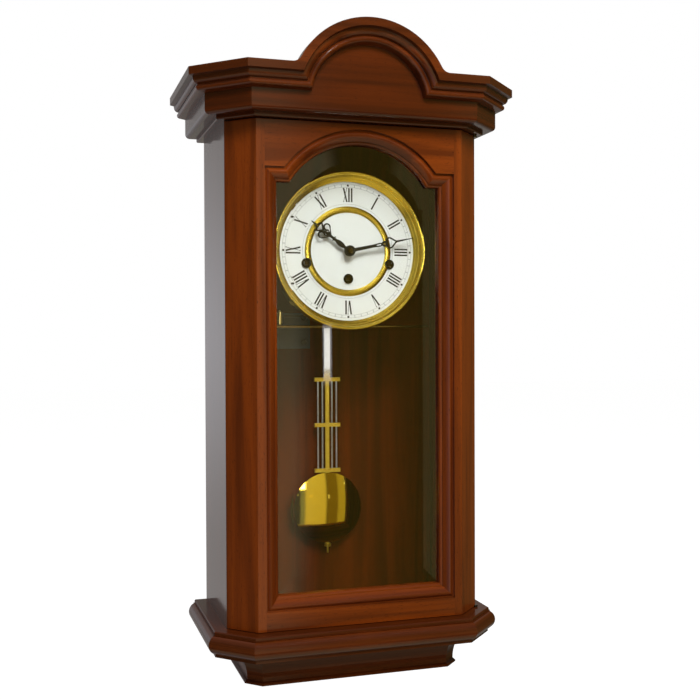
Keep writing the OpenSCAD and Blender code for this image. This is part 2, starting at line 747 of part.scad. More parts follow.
front_plate_y = back_plate_y + plate_t + plate_gap;
plate_shape = [[-68, -20], [-60, -40], [-46, -58], [-30, -plate_low], [30, -plate_low], [46, -58],
    [60, -40],
    [68, -20], [68, 30], [50, 62], [-50, 62], [-68, 30]];
pillars = [[-48, 52], [48, 52], [-12, -60], [40, -50]];
pillar_r = 3.5;
dial_feet = [[-44, 44], [44, 44], [-54, -30], [54, -30]];
dial_foot_r = 2;
dial_t = 1.2;

// Gear sizes: modules in mm, and where each arbor stands
great_m = 0.7;
centre_m = 0.5;
third_m = 0.45;
inter_m = 0.6;
pinion_teeth = 12;
inter_teeth = 60;
centre_teeth = 75;
third_teeth = 80;
small_pinion = 8;
drum_teeth = 24;
great_pr = great_m * great_teeth / 2;
chime_at = [-wind_x, -wind_drop];
time_at = [0, -wind_mid_drop];
strike_at = [wind_x, -wind_drop];
// The intermediate arbor stands where both its meshes have their right distances
inter_r1 = inter_m * (inter_teeth + pinion_teeth) / 2;
inter_r2 = great_m * (great_teeth + pinion_teeth) / 2;
inter_z = (inter_r2 * inter_r2 - inter_r1 * inter_r1 - wind_mid_drop * wind_mid_drop) / (2 * wind_mid_drop);
inter_at = [sqrt(inter_r1 * inter_r1 - inter_z * inter_z), inter_z];
third_at = [0, centre_m * (centre_teeth + small_pinion) / 2];
escape_at = [0, third_at[1] + third_m * (third_teeth + small_pinion) / 2];
anchor_at = [0, escape_at[1] + 1.4 * escape_r];
drum_angle = -75;
drum_r = great_m * (great_teeth + drum_teeth) / 2;
drum_at = chime_at + drum_r * [cos(drum_angle), sin(drum_angle)];
hammer_at = [-24, -58];
// Depths of the wheels, measured from the wall
great_y = back_plate_y + plate_t + 7;
great_w = 3;
wheel_t = 1.5;
inter_y = back_plate_y + plate_t + 2.5;
centre_y = front_plate_y - 4;
third_y = front_plate_y - 14;
escape_y = back_plate_y + plate_t + 6;
motion_y = front_plate_y + plate_t;

// Toothed outline, tooth 0 on the first axis; part is the tooth's share of the pitch
module gear(n, m, part = 0.4) {
    r = m * n / 2;
    p = 360 / n;
    polygon([for (k = [0:n - 1],
        q = [[-1.25, -0.6], [0, -0.5], [0.85, -0.24], [0.85, 0.24], [0, 0.5], [-1.25, 0.6]])
        let (a = p * k + q[1] * part * p, d = r + q[0] * m) [d * cos(a), d * sin(a)]]);
}
// Wheel at its arbor with a tooth or a gap turned to face another arbor
module wheel(at, y0, t, n, m, face_angle, gap = false, hole = 0) {
    translate([at[0], -y0, hands_z + at[1]]) rotate([90, 0, 0]) linear_extrude(t) difference() {
        rotate(face_angle + (gap ? 180 / n : 0)) gear(n, m);
        if (hole > 0) circle(r = hole);
    }
}
// Plain arbor between the plates with thinner pivots in them
module arbor(at, r, back_reach = 0, front_reach = 0) {
    x = at[0];
    z = hands_z + at[1];
    along_y(x, z, back_plate_y + plate_t + 0.4, front_plate_y - 0.4, r);
    along_y(x, z, back_plate_y - back_reach, front_plate_y + plate_t + front_reach, pivot_r);
}
module pivot_holes(front) {
    small = [inter_at, third_at, escape_at, anchor_at, drum_at];
    for (a = small) along_y(a[0], hands_z + a[1], front ? front_plate_y - 1 : back_plate_y - 1,
        front ? front_plate_y + plate_t + 1 : back_plate_y + plate_t + 1, pivot_r + run);
}

module plate_blank(y_wall) {
    translate([0, -y_wall, hands_z]) rotate([90, 0, 0]) linear_extrude(plate_t) polygon(plate_shape);
}
minute_at = 14 * [cos(45), sin(45)];
module front_plate() {
    y0 = front_plate_y - 1;
    y1 = front_plate_y + plate_t + 1;
    color(brass) difference() {
        plate_blank(front_plate_y);
        pivot_holes(front = true);
        along_y(0, hands_z, y0, y1, centre_r + run);
        for (a = [chime_at, time_at, strike_at])
            along_y(a[0], hands_z + a[1], y0, y1, wind_arbor_r + run);
        for (a = pillars) along_y(a[0], hands_z + a[1], y0, y1, pillar_r * 0.6);
        for (a = dial_feet) along_y(a[0], hands_z + a[1], y0, y1, dial_foot_r * 0.7);
        along_y(hammer_at[0], hands_z + hammer_at[1], y0, y1, hammer_arbor_r);
        along_y(minute_at[0], hands_z + minute_at[1], y0, y1, pivot_r + run);
    }
}
module back_plate() {
    y0 = back_plate_y - 1;
    y1 = back_plate_y + plate_t + 1;
    color(brass) {
        difference() {
            plate_blank(back_plate_y);
            pivot_holes(front = false);
            along_y(0, hands_z, y0, y1, pivot_r + run);
            for (a = [chime_at, time_at, strike_at])
                along_y(a[0], hands_z + a[1], y0, y1, wind_pivot_r + run);
            for (a = pillars) along_y(a[0], hands_z + a[1], y0, y1, pillar_r * 0.6);
            along_y(hammer_at[0], hands_z + hammer_at[1], y0, y1, hammer_arbor_r);
        }
        suspension_cock();
    }
}
module plate_pillars() {
    color(brass) for (a = pillars) {
        along_y(a[0], hands_z + a[1], back_plate_y + plate_t, front_plate_y, pillar_r);
        along_y(a[0], hands_z + a[1], back_plate_y - 3, back_plate_y + plate_t, pillar_r * 0.6 - eps);
        along_y(a[0], hands_z + a[1], front_plate_y, front_plate_y + plate_t + 3, pillar_r * 0.6 - eps);
    }
}
module pillar_nuts() {
    color(brass) for (a = pillars, y = [back_plate_y - 2.4, front_plate_y + plate_t])
        translate([a[0], -y, hands_z + a[1]]) rotate([90, 0, 0]) difference() {
            cylinder(h = 2.4, r = pillar_r * 1.1, $fn = 6);
            translate([0, 0, -1]) cylinder(h = 5, r = pillar_r * 0.6);
        }
}

module movement_brackets() {
    color(steel) for (s = [-1, 1]) difference() {
        union() {
            translate([s * bracket_x - bracket_w / 2, -(front_plate_y + plate_t + 1),
                hands_z - plate_low - bracket_t])
                cube([bracket_w, front_plate_y + plate_t + 1 - panel_front, bracket_t]);
            translate([s * bracket_x - bracket_w / 2, -panel_front - bracket_t,
                hands_z - plate_low - bracket_t])
                cube([bracket_w, bracket_t, bracket_h]);
        }
        for (z = bracket_screw_z)
            along_y(s * bracket_x, z, panel_front - 1, panel_front + bracket_t + 1, screw_r + eps);
    }
}

// Three spring barrels, each with its great wheel at the back
module barrel(at, face_angle) {
    difference() {
        union() {
            along_y(at[0], hands_z + at[1], great_y + great_w, front_plate_y - 8, barrel_r);
            along_y(at[0], hands_z + at[1], front_plate_y - 8, front_plate_y - 6, barrel_r * 0.3);
            wheel(at, great_y, great_w, great_teeth, great_m, face_angle);
        }
        along_y(at[0], hands_z + at[1], great_y - 1, front_plate_y, wind_arbor_r + run);
        // Rim line of the barrel's pressed-in cap
        translate([at[0], -(front_plate_y - 9), hands_z + at[1]]) rotate([90, 0, 0]) difference() {
            cylinder(h = 2, r = barrel_r - 1.2);
            translate([0, 0, -1]) cylinder(h = 4, r = barrel_r - 2.2);
        }
    }
}
module time_barrel() { color(brass) barrel(time_at, bearing(time_at, inter_at)); }
module chime_barrel() { color(brass) barrel(chime_at, bearing(chime_at, drum_at)); }
module strike_barrel() { color(brass) barrel(strike_at, 90); }

wind_pivot_r = 1.8;
wind_end_y = dial_y + 1.5;
ratchet_teeth = 20;
ratchet_r = 8.5;
module ratchet(n, r) {
    polygon([for (k = [0:n - 1], q = [[0.84, 0], [1, 0.08]]) let (a = 360 * (k + q[1]) / n)
        [r * q[0] * cos(a), r * q[0] * sin(a)]]);
}
module winding_arbor(at) {
    x = at[0];
    z = hands_z + at[1];
    along_y(x, z, back_plate_y + plate_t + 0.4, front_plate_y + plate_t + 0.6, wind_arbor_r);
    along_y(x, z, back_plate_y - 1, back_plate_y + plate_t + 1, wind_pivot_r);
    translate([x, -(front_plate_y + plate_t + 0.6), z]) rotate([90, 0, 0]) linear_extrude(1.6)
        ratchet(ratchet_teeth, ratchet_r);
    translate([x - square_w / 2, -wind_end_y, z - square_w / 2])
        cube([square_w, wind_end_y - front_plate_y - plate_t - 0.6, square_w]);
}
module time_winding_arbor() { color(steel) winding_arbor(time_at); }
module chime_winding_arbor() { color(steel) winding_arbor(chime_at); }
module strike_winding_arbor() { color(steel) winding_arbor(strike_at); }

// Time train
module intermediate_wheel() {
    color(brass) {
        arbor(inter_at, 1.4);
        wheel(inter_at, great_y - 1, great_w + 2, pinion_teeth, great_m, bearing(inter_at, time_at),
            gap = true);
        wheel(inter_at, inter_y, wheel_t, inter_teeth, inter_m, bearing(inter_at, [0, 0]));
    }
}
module third_wheel() {
    color(brass) {
        arbor(third_at, 1.2);
        wheel(third_at, centre_y - 1.5, 4, small_pinion, centre_m, bearing(third_at, [0, 0]), gap = true);
        wheel(third_at, third_y, wheel_t, third_teeth, third_m, bearing(third_at, escape_at));
    }
}
module escape_wheel() {
    p = 360 / escape_teeth;
    color(brass) {
        arbor(escape_at, 1.2);
        wheel(escape_at, third_y - 1.5, 4, small_pinion, third_m, bearing(escape_at, third_at),
            gap = true);
        translate([escape_at[0], -escape_y, hands_z + escape_at[1]]) rotate([90, 0, 0])
            linear_extrude(wheel_t)
            polygon([for (k = [0:escape_teeth - 1], q = [[0.8, 0], [1, 0.5], [1, 0.6], [0.8, 0.7]])
                let (a = p * (k + q[1])) [escape_r * q[0] * cos(a), escape_r * q[0] * sin(a)]]);
    }
}

// Anchor over the escape wheel, with the crutch that carries its swing to the pendulum
crutch_l = 46;
crutch_t = 1.4;
crutch_gap = 10;
crutch_y = pendulum_y + crutch_gap;
pallet_gap = 1.8;
module anchor() {
    z = hands_z + anchor_at[1];
    reach = anchor_at[1] - escape_at[1];
    color(steel) {
        arbor(anchor_at, 1.5, back_reach = back_plate_y - crutch_y + 1);
        translate([0, -(escape_y - 1), z]) rotate([90, 0, 0]) linear_extrude(wheel_t + 2) {
            difference() {
                union() {
                    circle(r = 3.4);
                    polygon([[-2, 2.4], [2, 2.4], [13, -7], [12.6, -11.4], [9.8, -9.4], [0, -2.6],
                        [-9.8, -9.4],
                        [-12.6, -11.4], [-13, -7]]);
                }
                translate([0, -reach]) circle(r = escape_r + pallet_gap);
            }
        }
        // Crutch: a flat arm behind the back plate and two prongs round the pendulum strip
        translate([-3, -crutch_y, z - crutch_l]) cube([6, crutch_t, crutch_l + 3]);
        translate([-strip_w / 2 - 2.2, -crutch_y, z - crutch_l]) cube([strip_w + 4.4, crutch_t, 5]);
        for (s = [-1, 1]) translate([s * (strip_w / 2 + 1.3) - 0.9, -crutch_y, z - crutch_l])
            cube([1.8, crutch_y - pendulum_y + strip_t / 2 + 2, 5]);
    }
}

// Suspension cock on the back plate: a post with a slot that the spring hangs in
cock_w = 14;
spring_t = 0.3;
spring_w = 7;
spring_l = 22;
pin_over = 9;
pin_gap = 0.45;
pin_r = 1;
module suspension_cock() {
    z = hands_z + anchor_at[1];
    y1 = pendulum_y - spring_w / 2 - 3;
    difference() {
        translate([-cock_w / 2, -back_plate_y, z + 3.5])
            cube([cock_w, back_plate_y - y1, pin_over - 4.5]);
        translate([-0.9, -(pendulum_y + spring_w / 2 + 0.5), z]) cube([1.8, spring_w + 1, pin_over + 4]);
    }
}
module suspension_spring() {
    z = hands_z + anchor_at[1];
    color(steel) {
        translate([-spring_t / 2, -(pendulum_y + spring_w / 2), z - spring_l])
            cube([spring_t, spring_w, spring_l + pin_over + pin_gap + 0.5]);
        // Cross pins at its top, over the cock, and at its bottom, in the rod's fork
        for (p = [[pin_over + pin_gap, 4], [-spring_l, 5]]) translate([-p[1], -pendulum_y, z + p[0]])
            rotate([0, 90, 0]) cylinder(h = 2 * p[1], r = pin_r);
    }
}

// Motion work in front of the front plate
centre_r = 1.5;
cannon_r = 2.4;
pipe_in_r = cannon_r + 2 * run;
pipe_r = 3.4;
motion_m1 = 0.5;
motion_m2 = 28 / 60;
cannon_teeth = 14;
minute_teeth = 42;
minute_pinion = 12;
hour_teeth = 48;
hour_hand_y = dial_y + 5;
minute_hand_y = dial_y + 8;
hand_t = 0.9;
to_minute = bearing([0, 0], minute_at);
module centre_arbor() {
    color(steel) {
        along_y(0, hands_z, back_plate_y + plate_t + 0.4, motion_y + 1, centre_r);
        along_y(0, hands_z, back_plate_y, back_plate_y + plate_t + 1, pivot_r);
        wheel([0, 0], inter_y - 0.7, 3, pinion_teeth, inter_m, bearing([0, 0], inter_at), gap = true);
        wheel([0, 0], centre_y, wheel_t, centre_teeth, centre_m, 90);
        wheel([0, 0], motion_y + 1, 1.6, cannon_teeth, motion_m1, to_minute);
        along_y(0, hands_z, motion_y + 1, minute_hand_y, cannon_r);
        along_y(0, hands_z, minute_hand_y, minute_hand_y + 3.2, cannon_r - 0.5);
    }
}
module minute_wheel() {
    color(brass) {
        along_y(minute_at[0], hands_z + minute_at[1], front_plate_y, motion_y + 6.4, pivot_r);
        wheel(minute_at, motion_y + 1, 1.5, minute_teeth, motion_m1, to_minute + 180, gap = true);
        wheel(minute_at, motion_y + 2.5, 3.4, minute_pinion, motion_m2, to_minute + 180);
    }
}
module hour_wheel() {
    color(brass) {
        wheel([0, 0], motion_y + 4, 1.5, hour_teeth, motion_m2, to_minute, gap = true, hole = pipe_in_r);
        difference() {
            along_y(0, hands_z, motion_y + 4, hour_hand_y + hand_t, pipe_r);
            along_y(0, hands_z, motion_y + 3, hour_hand_y + 2, pipe_in_r);
        }
    }
}

// HANDS, in the serpentine style: drawn pointing up, then turned to the time shown
minute_angle = show_min * 6;
hour_angle = show_hour * 30 + show_min / 2;
module hand(y_wall, angle) {
    translate([0, -y_wall, hands_z]) rotate([90, 0, 0]) rotate([0, 0, -angle]) children();
}
module disc(x, y, r) {
    translate([x, y, 0]) cylinder(h = hand_t, r = r);
}
module through(x, y, r) {
    translate([x, y, -1]) cylinder(h = hand_t + 2, r = r);
}
// Stem that narrows upwards and ends in a point when w1 is small
module blade(y0, y1, w0, w1) {
    linear_extrude(hand_t) polygon([[-w0, y0], [-w1, y1], [w1, y1], [w0, y0]]);
}
module flat(points) {
    linear_extrude(hand_t) polygon(points);
}
module pierced(points) {
    translate([0, 0, -1]) linear_extrude(hand_t + 2) polygon(points);
}
module minute_hand() {
    h = minute_l;
    // Stem, a small ring, then an open heart and the tip
    color(black) hand(minute_hand_y, minute_angle) difference() {
        union() {
            disc(0, 0, 6.2);
            flat([[-2.2, 0], [-1.7, h * 0.36], [-2.3, h * 0.46], [-1, h * 0.54], [1, h * 0.54],
                [2.3, h * 0.46],
                [1.7, h * 0.36], [2.2, 0]]);
            disc(0, h * 0.535, 3.3);
            flat([[0, h * 0.55], [-4.6, h * 0.565], [-6.8, h * 0.61], [-6, h * 0.65], [-2.6, h * 0.7],
                [0, h * 0.745], [2.6, h * 0.7], [6, h * 0.65], [6.8, h * 0.61], [4.6, h * 0.565]]);
            blade(h * 0.7, h, 1.3, 0.35);
        }
        through(0, 0, cannon_r - 0.5 + eps);
        through(0, h * 0.535, 1.3);
        pierced([[0, h * 0.586], [-3.6, h * 0.59], [-5, h * 0.615], [-4.5, h * 0.638], [0, h * 0.708],
            [4.5, h * 0.638], [5, h * 0.615], [3.6, h * 0.59]]);
        pierced([[-0.3, h * 0.41], [-0.8, h * 0.48], [0.8, h * 0.48], [0.3, h * 0.41]]);
    }
}
module hour_hand() {
    h = hour_l;
    // Stem with an oval and a collar, a spade between two loops, an open diamond and the tip
    color(black) hand(hour_hand_y, hour_angle) difference() {
        union() {
            disc(0, 0, 6.2);
            blade(0, h * 0.6, 1.8, 1.4);
            flat([for (a = [0:20:340]) [3 * cos(a), h * 0.24 + 7 * sin(a)]]);
            flat([[-3, h * 0.395], [-3, h * 0.42], [3, h * 0.42], [3, h * 0.395]]);
            flat([[0, h * 0.47], [-2.1, h * 0.57], [0, h * 0.69], [2.1, h * 0.57]]);
            for (s = [-1, 1]) {
                disc(s * 5.3, h * 0.665, 4.5);
                flat([[0, h * 0.47], [s * 9.2, h * 0.63], [s * 4, h * 0.66]]);
            }
            flat([[0, h * 0.67], [-6.2, h * 0.785], [0, h * 0.9], [6.2, h * 0.785]]);
            blade(h * 0.87, h, 1.5, 0.3);
        }
        through(0, 0, pipe_r + eps);
        for (s = [-1, 1]) {
            through(s * 5.6, h * 0.662, 2.7);
            pierced([[s * 2.6, h * 0.545], [s * 7, h * 0.615], [s * 4.4, h * 0.62]]);
        }
        pierced([[0, h * 0.715], [-4, h * 0.788], [0, h * 0.86], [4, h * 0.788]]);
    }
}
module hand_nut() {
    color(brass) translate([0, -(minute_hand_y + hand_t), hands_z]) rotate([90, 0, 0]) difference() {
        union() {
            cylinder(h = 1.6, r = 3);
            translate([0, 0, 1.6]) cylinder(h = 0.8, r1 = 3, r2 = 2.3);
        }
        translate([0, 0, -1]) cylinder(h = 6, r = cannon_r - 0.5 + eps);
    }
}

// DIAL

grommet_hole_r = 3.8;
grommet_h = 2;
dial_hole_r = 4.6;
module dial_plate() {
    color("#eef0e4") {
        difference() {
            along_y(0, hands_z, dial_y - dial_t, dial_y, bezel_r - 3.2);
            along_y(0, hands_z, dial_y - dial_t - 1, dial_y + 1, dial_hole_r);
            for (a = [chime_at, time_at, strike_at])
                along_y(a[0], hands_z + a[1], dial_y - dial_t - 1, dial_y + 1, grommet_r - 1);
        }
        for (a = dial_feet) {
            along_y(a[0], hands_z + a[1], front_plate_y + plate_t, dial_y - dial_t, dial_foot_r);
            along_y(a[0], hands_z + a[1], front_plate_y - 1.5, front_plate_y + plate_t,
                dial_foot_r * 0.7 - eps);
        }
    }
}
module dial_centre_ring() {
    color(brass) difference() {
        translate([0, -dial_y, hands_z]) rotate([90, 0, 0]) rotate_extrude()
            polygon(concat([[ring_r, 0], [ring_r, 0.5]],
                [for (i = [1:7]) let (s = i / 8) [ring_r - ring_w * s, 0.5 + 1.1 * sin(180 * s)]],
                [[ring_r - ring_w, 0.5], [ring_r - ring_w, 0]]));
        // Cut away round the outer winding holes
        for (a = [chime_at, strike_at])
            along_y(a[0], hands_z + a[1], dial_y - 1, dial_y + 3, grommet_r + 0.1);
    }
}
module bezel() {
    wall = 1.2;
    b = bezel_r;
    d = dial_show_r;
    step = (b - d) / 10.5;
    front = concat([[d, 0.1], [d, 1]],
        [[d + 1.7 * step, 2.2], [d + 1.9 * step, 3.4], [d + 4.4 * step, 5.4], [d + 4.7 * step, 6.8],
            [d + 7 * step, bezel_h - 4]],
        arc([b - 1.9, bezel_h - 1.9], 1.9, 190, 0, 8));
    color(brass) translate([0, -dial_y, hands_z]) rotate([90, 0, 0]) rotate_extrude()
        polygon(concat(front, [[b, -dial_t], [b - wall, -dial_t], [b - wall, bezel_h - 5.5],
            [b - 2.6, bezel_h - 5.5],
            [d + 4.4 * step, 3.4], [d + 2.2 * step, 0.1]]));
}
module winding_grommets() {
    color(black) for (a = [chime_at, time_at, strike_at])
        translate([a[0], -dial_y, hands_z + a[1]]) rotate([90, 0, 0]) rotate_extrude()
            polygon([[grommet_hole_r, -dial_t], [grommet_r - 1 - eps, -dial_t],
                [grommet_r - 1 - eps, 0], [grommet_r, 0],
                [grommet_r, grommet_h - 0.6], [grommet_r - 0.6, grommet_h],
                    [grommet_hole_r + 0.5, grommet_h],
                [grommet_hole_r, grommet_h - 0.5]]);
}

// PENDULUM: strip, grid of bar and rods, bob and rating nut

bob_z = foot_z + bob_h;
grid_z = bob_z + bob_d / 2 + grid_gap + crossbar_w / 2 + 2 * grid_pitch;
hook_z = hands_z + anchor_at[1] - spring_l;
bar_w = 5;
bob_slot = 0.15;
tip_l = 12.8;
tip_r = 1.2;
nut_gap = 0.3;
crossbar_t = 4;
module pendulum_rod() {
    color(brass) difference() {
        union() {
            // Upper strip with a forked head round the spring's lower pin
            translate([-strip_w / 2, -(pendulum_y + strip_t / 2), grid_z])
                cube([strip_w, strip_t, hook_z - grid_z - 6]);
            translate([-strip_w / 2, -(pendulum_y + 3.5), hook_z - 12]) cube([strip_w, 7, 6]);
            for (s = [-1, 1]) translate([-strip_w / 2 + (s > 0 ? strip_w - 2.2 : 0),
                -(pendulum_y + 3.5), hook_z - 12])
                cube([2.2, 7, 15]);
            // Middle bar of the grid, down into the bob
            translate([-bar_w / 2, -(pendulum_y + strip_t / 2), bob_z - bob_d / 2 + 5])
                cube([bar_w, strip_t, grid_z - bob_z + bob_d / 2 - 5]);
            translate([0, -pendulum_y, bob_z - bob_d / 2 - tip_l]) cylinder(h = tip_l + 6, r = tip_r);
        }
        translate([-strip_w, -pendulum_y, hook_z]) rotate([0, 90, 0])
            cylinder(h = 2 * strip_w, r = pin_r + run);
    }
}
module pendulum_crossbars() {
    color(brass) for (k = [0:2]) difference() {
        translate([-crossbar_l / 2, -(pendulum_y + crossbar_t / 2),
            grid_z - k * grid_pitch - crossbar_w / 2])
            cube([crossbar_l, crossbar_t, crossbar_w]);
        translate([-bar_w / 2 - eps, -(pendulum_y + strip_t / 2 + eps),
            grid_z - k * grid_pitch - crossbar_w])
            cube([bar_w + 2 * eps, strip_t + 2 * eps, 2 * crossbar_w]);
        if (k == 0) translate([-strip_w / 2 - eps, -(pendulum_y + strip_t / 2 + eps), grid_z - eps])
            cube([strip_w + 2 * eps, strip_t + 2 * eps, crossbar_w]);
        steel_rod_bars(grid_rod_d / 2);
    }
}
module steel_rod_bars(r) {
    for (s = [-1, 1], x = grid_rods)
        translate([s * x, -pendulum_y, grid_z - 2 * grid_pitch - crossbar_w / 2])
        cylinder(h = 2 * grid_pitch + crossbar_w, r = r);
}
module pendulum_steel_rods() { color(steel) steel_rod_bars(grid_rod_d / 2 - eps); }

// Lens-shaped bob: two shallow domes with a rolled rim, slotted for the middle bar
module pendulum_bob() {
    r = bob_d / 2;
    dome = bob_t / 2 - 1.2;
    sphere_r = (r * r + dome * dome) / (2 * dome);
    // Outline of half the lens, from the middle out to the rim
    side = [for (i = [0:10]) let (q = r * i / 10) [q,
        1.2 + sqrt(sphere_r * sphere_r - q * q) - (sphere_r - dome)]];
    color(brass) difference() {
        translate([0, -pendulum_y, bob_z]) rotate([90, 0, 0]) rotate_extrude()
            polygon(concat([for (p = side) [p[0], p[1]]],
                [for (i = [10:-1:0]) [side[i][0], -side[i][1]]]));
        translate([-bar_w / 2 - bob_slot, -(pendulum_y + strip_t / 2 + bob_slot), bob_z - r - 1])
            cube([bar_w + 2 * bob_slot, strip_t + 2 * bob_slot, 2 * r + 2]);
        translate([0, -pendulum_y, bob_z - r - 1]) cylinder(h = r, r = tip_r + bob_slot);
    }
}
nut_r = 4.2;
nut_h = 3.4;
module rating_nut() {
    color(brass) translate([0, -pendulum_y, bob_z - bob_d / 2 - nut_h - 1 - nut_gap]) difference() {
        union() {
            cylinder(h = nut_h, r = nut_r);
            translate([0, 0, nut_h]) cylinder(h = 1, r1 = nut_r, r2 = tip_r + 1.2);
        }
        translate([0, 0, -1]) cylinder(h = nut_h + 3, r = tip_r + run);
        for (k = [0:11]) rotate(30 * k) translate([nut_r + 0.35, 0, -1]) cylinder(h = nut_h + 1, r = 0.6);
    }
}

// CHIME: block, rods, drum and hammers

rods_z = foot_z + rods_h;
boss_x = -102;
boss_w = 16;
boss_h = 20;
rod_cover = 9;
block_below = 26.5;
block_above = 17;
block_right_x = -21.5;
block_low = rods_z - block_below;
block_high = rods_z + block_above;
function rod_y(i) = first_rod_y + i * rod_pitch;
module rod_block() {
    front = rod_y(3) + rod_cover;
    color(dark_iron) difference() {
        union() {
            translate([boss_x, -panel_front - block_t, block_low])
                cube([block_right_x - boss_x, block_t, block_high - block_low]);
            translate([boss_x, -front, rods_z - boss_h / 2]) cube([boss_w, front - panel_front, boss_h]);
        }
        for (z = block_screw_z) along_y(block_screw_x, z, panel_front - 1, panel_front + block_t + 1,
            screw_r + eps);
        for (i = [0:3]) translate([boss_x - 1, -rod_y(i), rods_z]) rotate([0, 90, 0])
            cylinder(h = boss_w + 2, r = chime_rod_d / 2);
    }
}
module chime_rods() {
    color(brass) for (i = [0:3]) translate([boss_x + 1, -rod_y(i), rods_z]) rotate([0, 90, 0])
        cylinder(h = boss_w - 1 + long_rod_l - i * rod_step, r = chime_rod_d / 2 - eps);
}

hammer_arbor_r = 1.4;
hub_r = 3.2;
hub_w = 4;
arm_w = 2.4;
arm_t = 1.6;
tip_h = 1.8;
tip_d = 4;
module hammer_arbor() {
    color(steel) along_y(hammer_at[0], hands_z + hammer_at[1], back_plate_y - 0.5,
        front_plate_y + plate_t + 0.5, hammer_arbor_r - eps);
}
// Each head stands a little further left than the one behind it
function head_x(i) = -66.9 + 0.2375 * (60 - rod_y(i));
module hammer(i) {
    x0 = hammer_at[0];
    z0 = hands_z + hammer_at[1];
    head_low = rods_z + chime_rod_d / 2 + strike_gap + tip_h;
    grip = head_low + head_l * 0.62;
    color(brass) {
        difference() {
            union() {
                along_y(x0, z0, rod_y(i) - hub_w / 2, rod_y(i) + hub_w / 2, hub_r);
                translate([0, -(rod_y(i) - arm_t / 2), 0]) rotate([90, 0, 0]) linear_extrude(arm_t) {
                    // Arm: down to the left, then level to the head
                    polygon([[x0 - 1, z0 + arm_w / 2], [x0 - 1, z0 - arm_w / 2],
                        [x0 - 22, grip - arm_w / 2],
                        [head_x(i), grip - arm_w / 2], [head_x(i), grip + arm_w / 2],
                            [x0 - 22, grip + arm_w / 2]]);
                    // Tail that the drum's cams push
                    polygon([[x0 - 1, z0 - 1.4], [x0 + 1, z0 + 1.4], [x0 - 8.2, z0 + 9],
                        [x0 - 9.6, z0 + 7.6]]);
                }
            }
            along_y(x0, z0, rod_y(i) - hub_w, rod_y(i) + hub_w, hammer_arbor_r + run);
        }
        translate([head_x(i), -rod_y(i), head_low]) cylinder(h = head_l, d = head_d);
        translate([head_x(i), -rod_y(i), head_low - tip_h]) cylinder(h = tip_h, d = tip_d);
        translate([head_x(i), -rod_y(i), head_low + head_l]) cylinder(h = 1.6, d = tip_d * 0.6);
    }
}
module hammer_1() { hammer(0); }
module hammer_2() { hammer(1); }
module hammer_3() { hammer(2); }
module hammer_4() { hammer(3); }

cam_r = 7.8;
module chime_drum() {
    color(brass) {
        arbor(drum_at, 2);
        wheel(drum_at, great_y - 0.5, great_w + 1, drum_teeth, great_m, bearing(drum_at, chime_at),
            gap = true);
        along_y(drum_at[0], hands_z + drum_at[1], great_y + great_w + 0.5, rod_y(3) + 4, cam_r - 3);
        // One star cam for each hammer, each turned on from the last
        for (i = [0:3]) translate([drum_at[0], -(rod_y(i) - 1), hands_z + drum_at[1]]) rotate([90, 0, 0])
            linear_extrude(2) rotate(15 * i) ratchet(6, cam_r);
    }
}

back_panel();
left_side();
right_side();
top_board();
plinth();
pedestal();
frieze();
crown_moulding();
hanger_plate();
case_screws();
case_hinge_leaves();
magnet_catch();
movement_brackets();
rod_block();
chime_rods();
front_plate();
back_plate();
plate_pillars();
pillar_nuts();
dial_plate();
dial_centre_ring();
bezel();
winding_grommets();
hammer_arbor();
door_left_stile();
door_right_stile();
door_top_rail();
door_bottom_rail();
door_glass();
glazing_strips();
door_hinge_leaves();
catch_plate();
door_screws();
minute_hand();
hand_nut();
centre_arbor();
hour_hand();
hour_wheel();
minute_wheel();
time_barrel();
chime_barrel();
strike_barrel();
time_winding_arbor();
chime_winding_arbor();
strike_winding_arbor();
intermediate_wheel();
third_wheel();
escape_wheel();
anchor();
suspension_spring();
pendulum_rod();
pendulum_crossbars();
pendulum_steel_rods();
pendulum_bob();
rating_nut();
hammer_1();
hammer_2();
hammer_3();
hammer_4();
chime_drum();
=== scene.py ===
# %% [markdown]
# # A chiming wall clock
#
# The clock is a canted mahogany case with an arched crown, a glazed door, a round dial on a
# key-wound movement, and a polished pendulum. Its solid pieces come from a CAD model, which is loaded
# as a fixed frame. This lesson dresses them: it gives every piece the finish of the real thing, prints
# the dial, and sets up the camera and the light.

import math

import bpy
import numpy as np
from mathutils import Matrix, Vector


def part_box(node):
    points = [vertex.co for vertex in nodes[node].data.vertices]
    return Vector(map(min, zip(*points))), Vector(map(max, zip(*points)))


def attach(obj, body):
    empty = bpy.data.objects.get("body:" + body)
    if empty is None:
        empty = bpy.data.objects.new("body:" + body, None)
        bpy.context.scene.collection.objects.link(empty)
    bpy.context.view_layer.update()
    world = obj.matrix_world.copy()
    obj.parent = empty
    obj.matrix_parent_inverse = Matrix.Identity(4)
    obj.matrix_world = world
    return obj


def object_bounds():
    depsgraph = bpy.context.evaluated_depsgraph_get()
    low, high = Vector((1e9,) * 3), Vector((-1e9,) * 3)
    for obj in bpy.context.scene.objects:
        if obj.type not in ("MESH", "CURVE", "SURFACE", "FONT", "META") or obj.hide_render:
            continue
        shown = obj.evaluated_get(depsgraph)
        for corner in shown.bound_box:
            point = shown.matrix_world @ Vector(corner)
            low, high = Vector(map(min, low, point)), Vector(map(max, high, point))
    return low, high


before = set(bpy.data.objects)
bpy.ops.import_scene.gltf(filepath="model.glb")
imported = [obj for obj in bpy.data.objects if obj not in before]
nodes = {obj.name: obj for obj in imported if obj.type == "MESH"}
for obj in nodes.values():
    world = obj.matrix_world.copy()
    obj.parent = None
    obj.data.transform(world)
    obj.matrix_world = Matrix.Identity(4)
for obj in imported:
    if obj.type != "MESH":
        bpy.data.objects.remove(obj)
cad_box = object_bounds()
print("pieces from CAD:", len(nodes), "box in metres:", [round(v, 3) for corner in cad_box for v in corner])

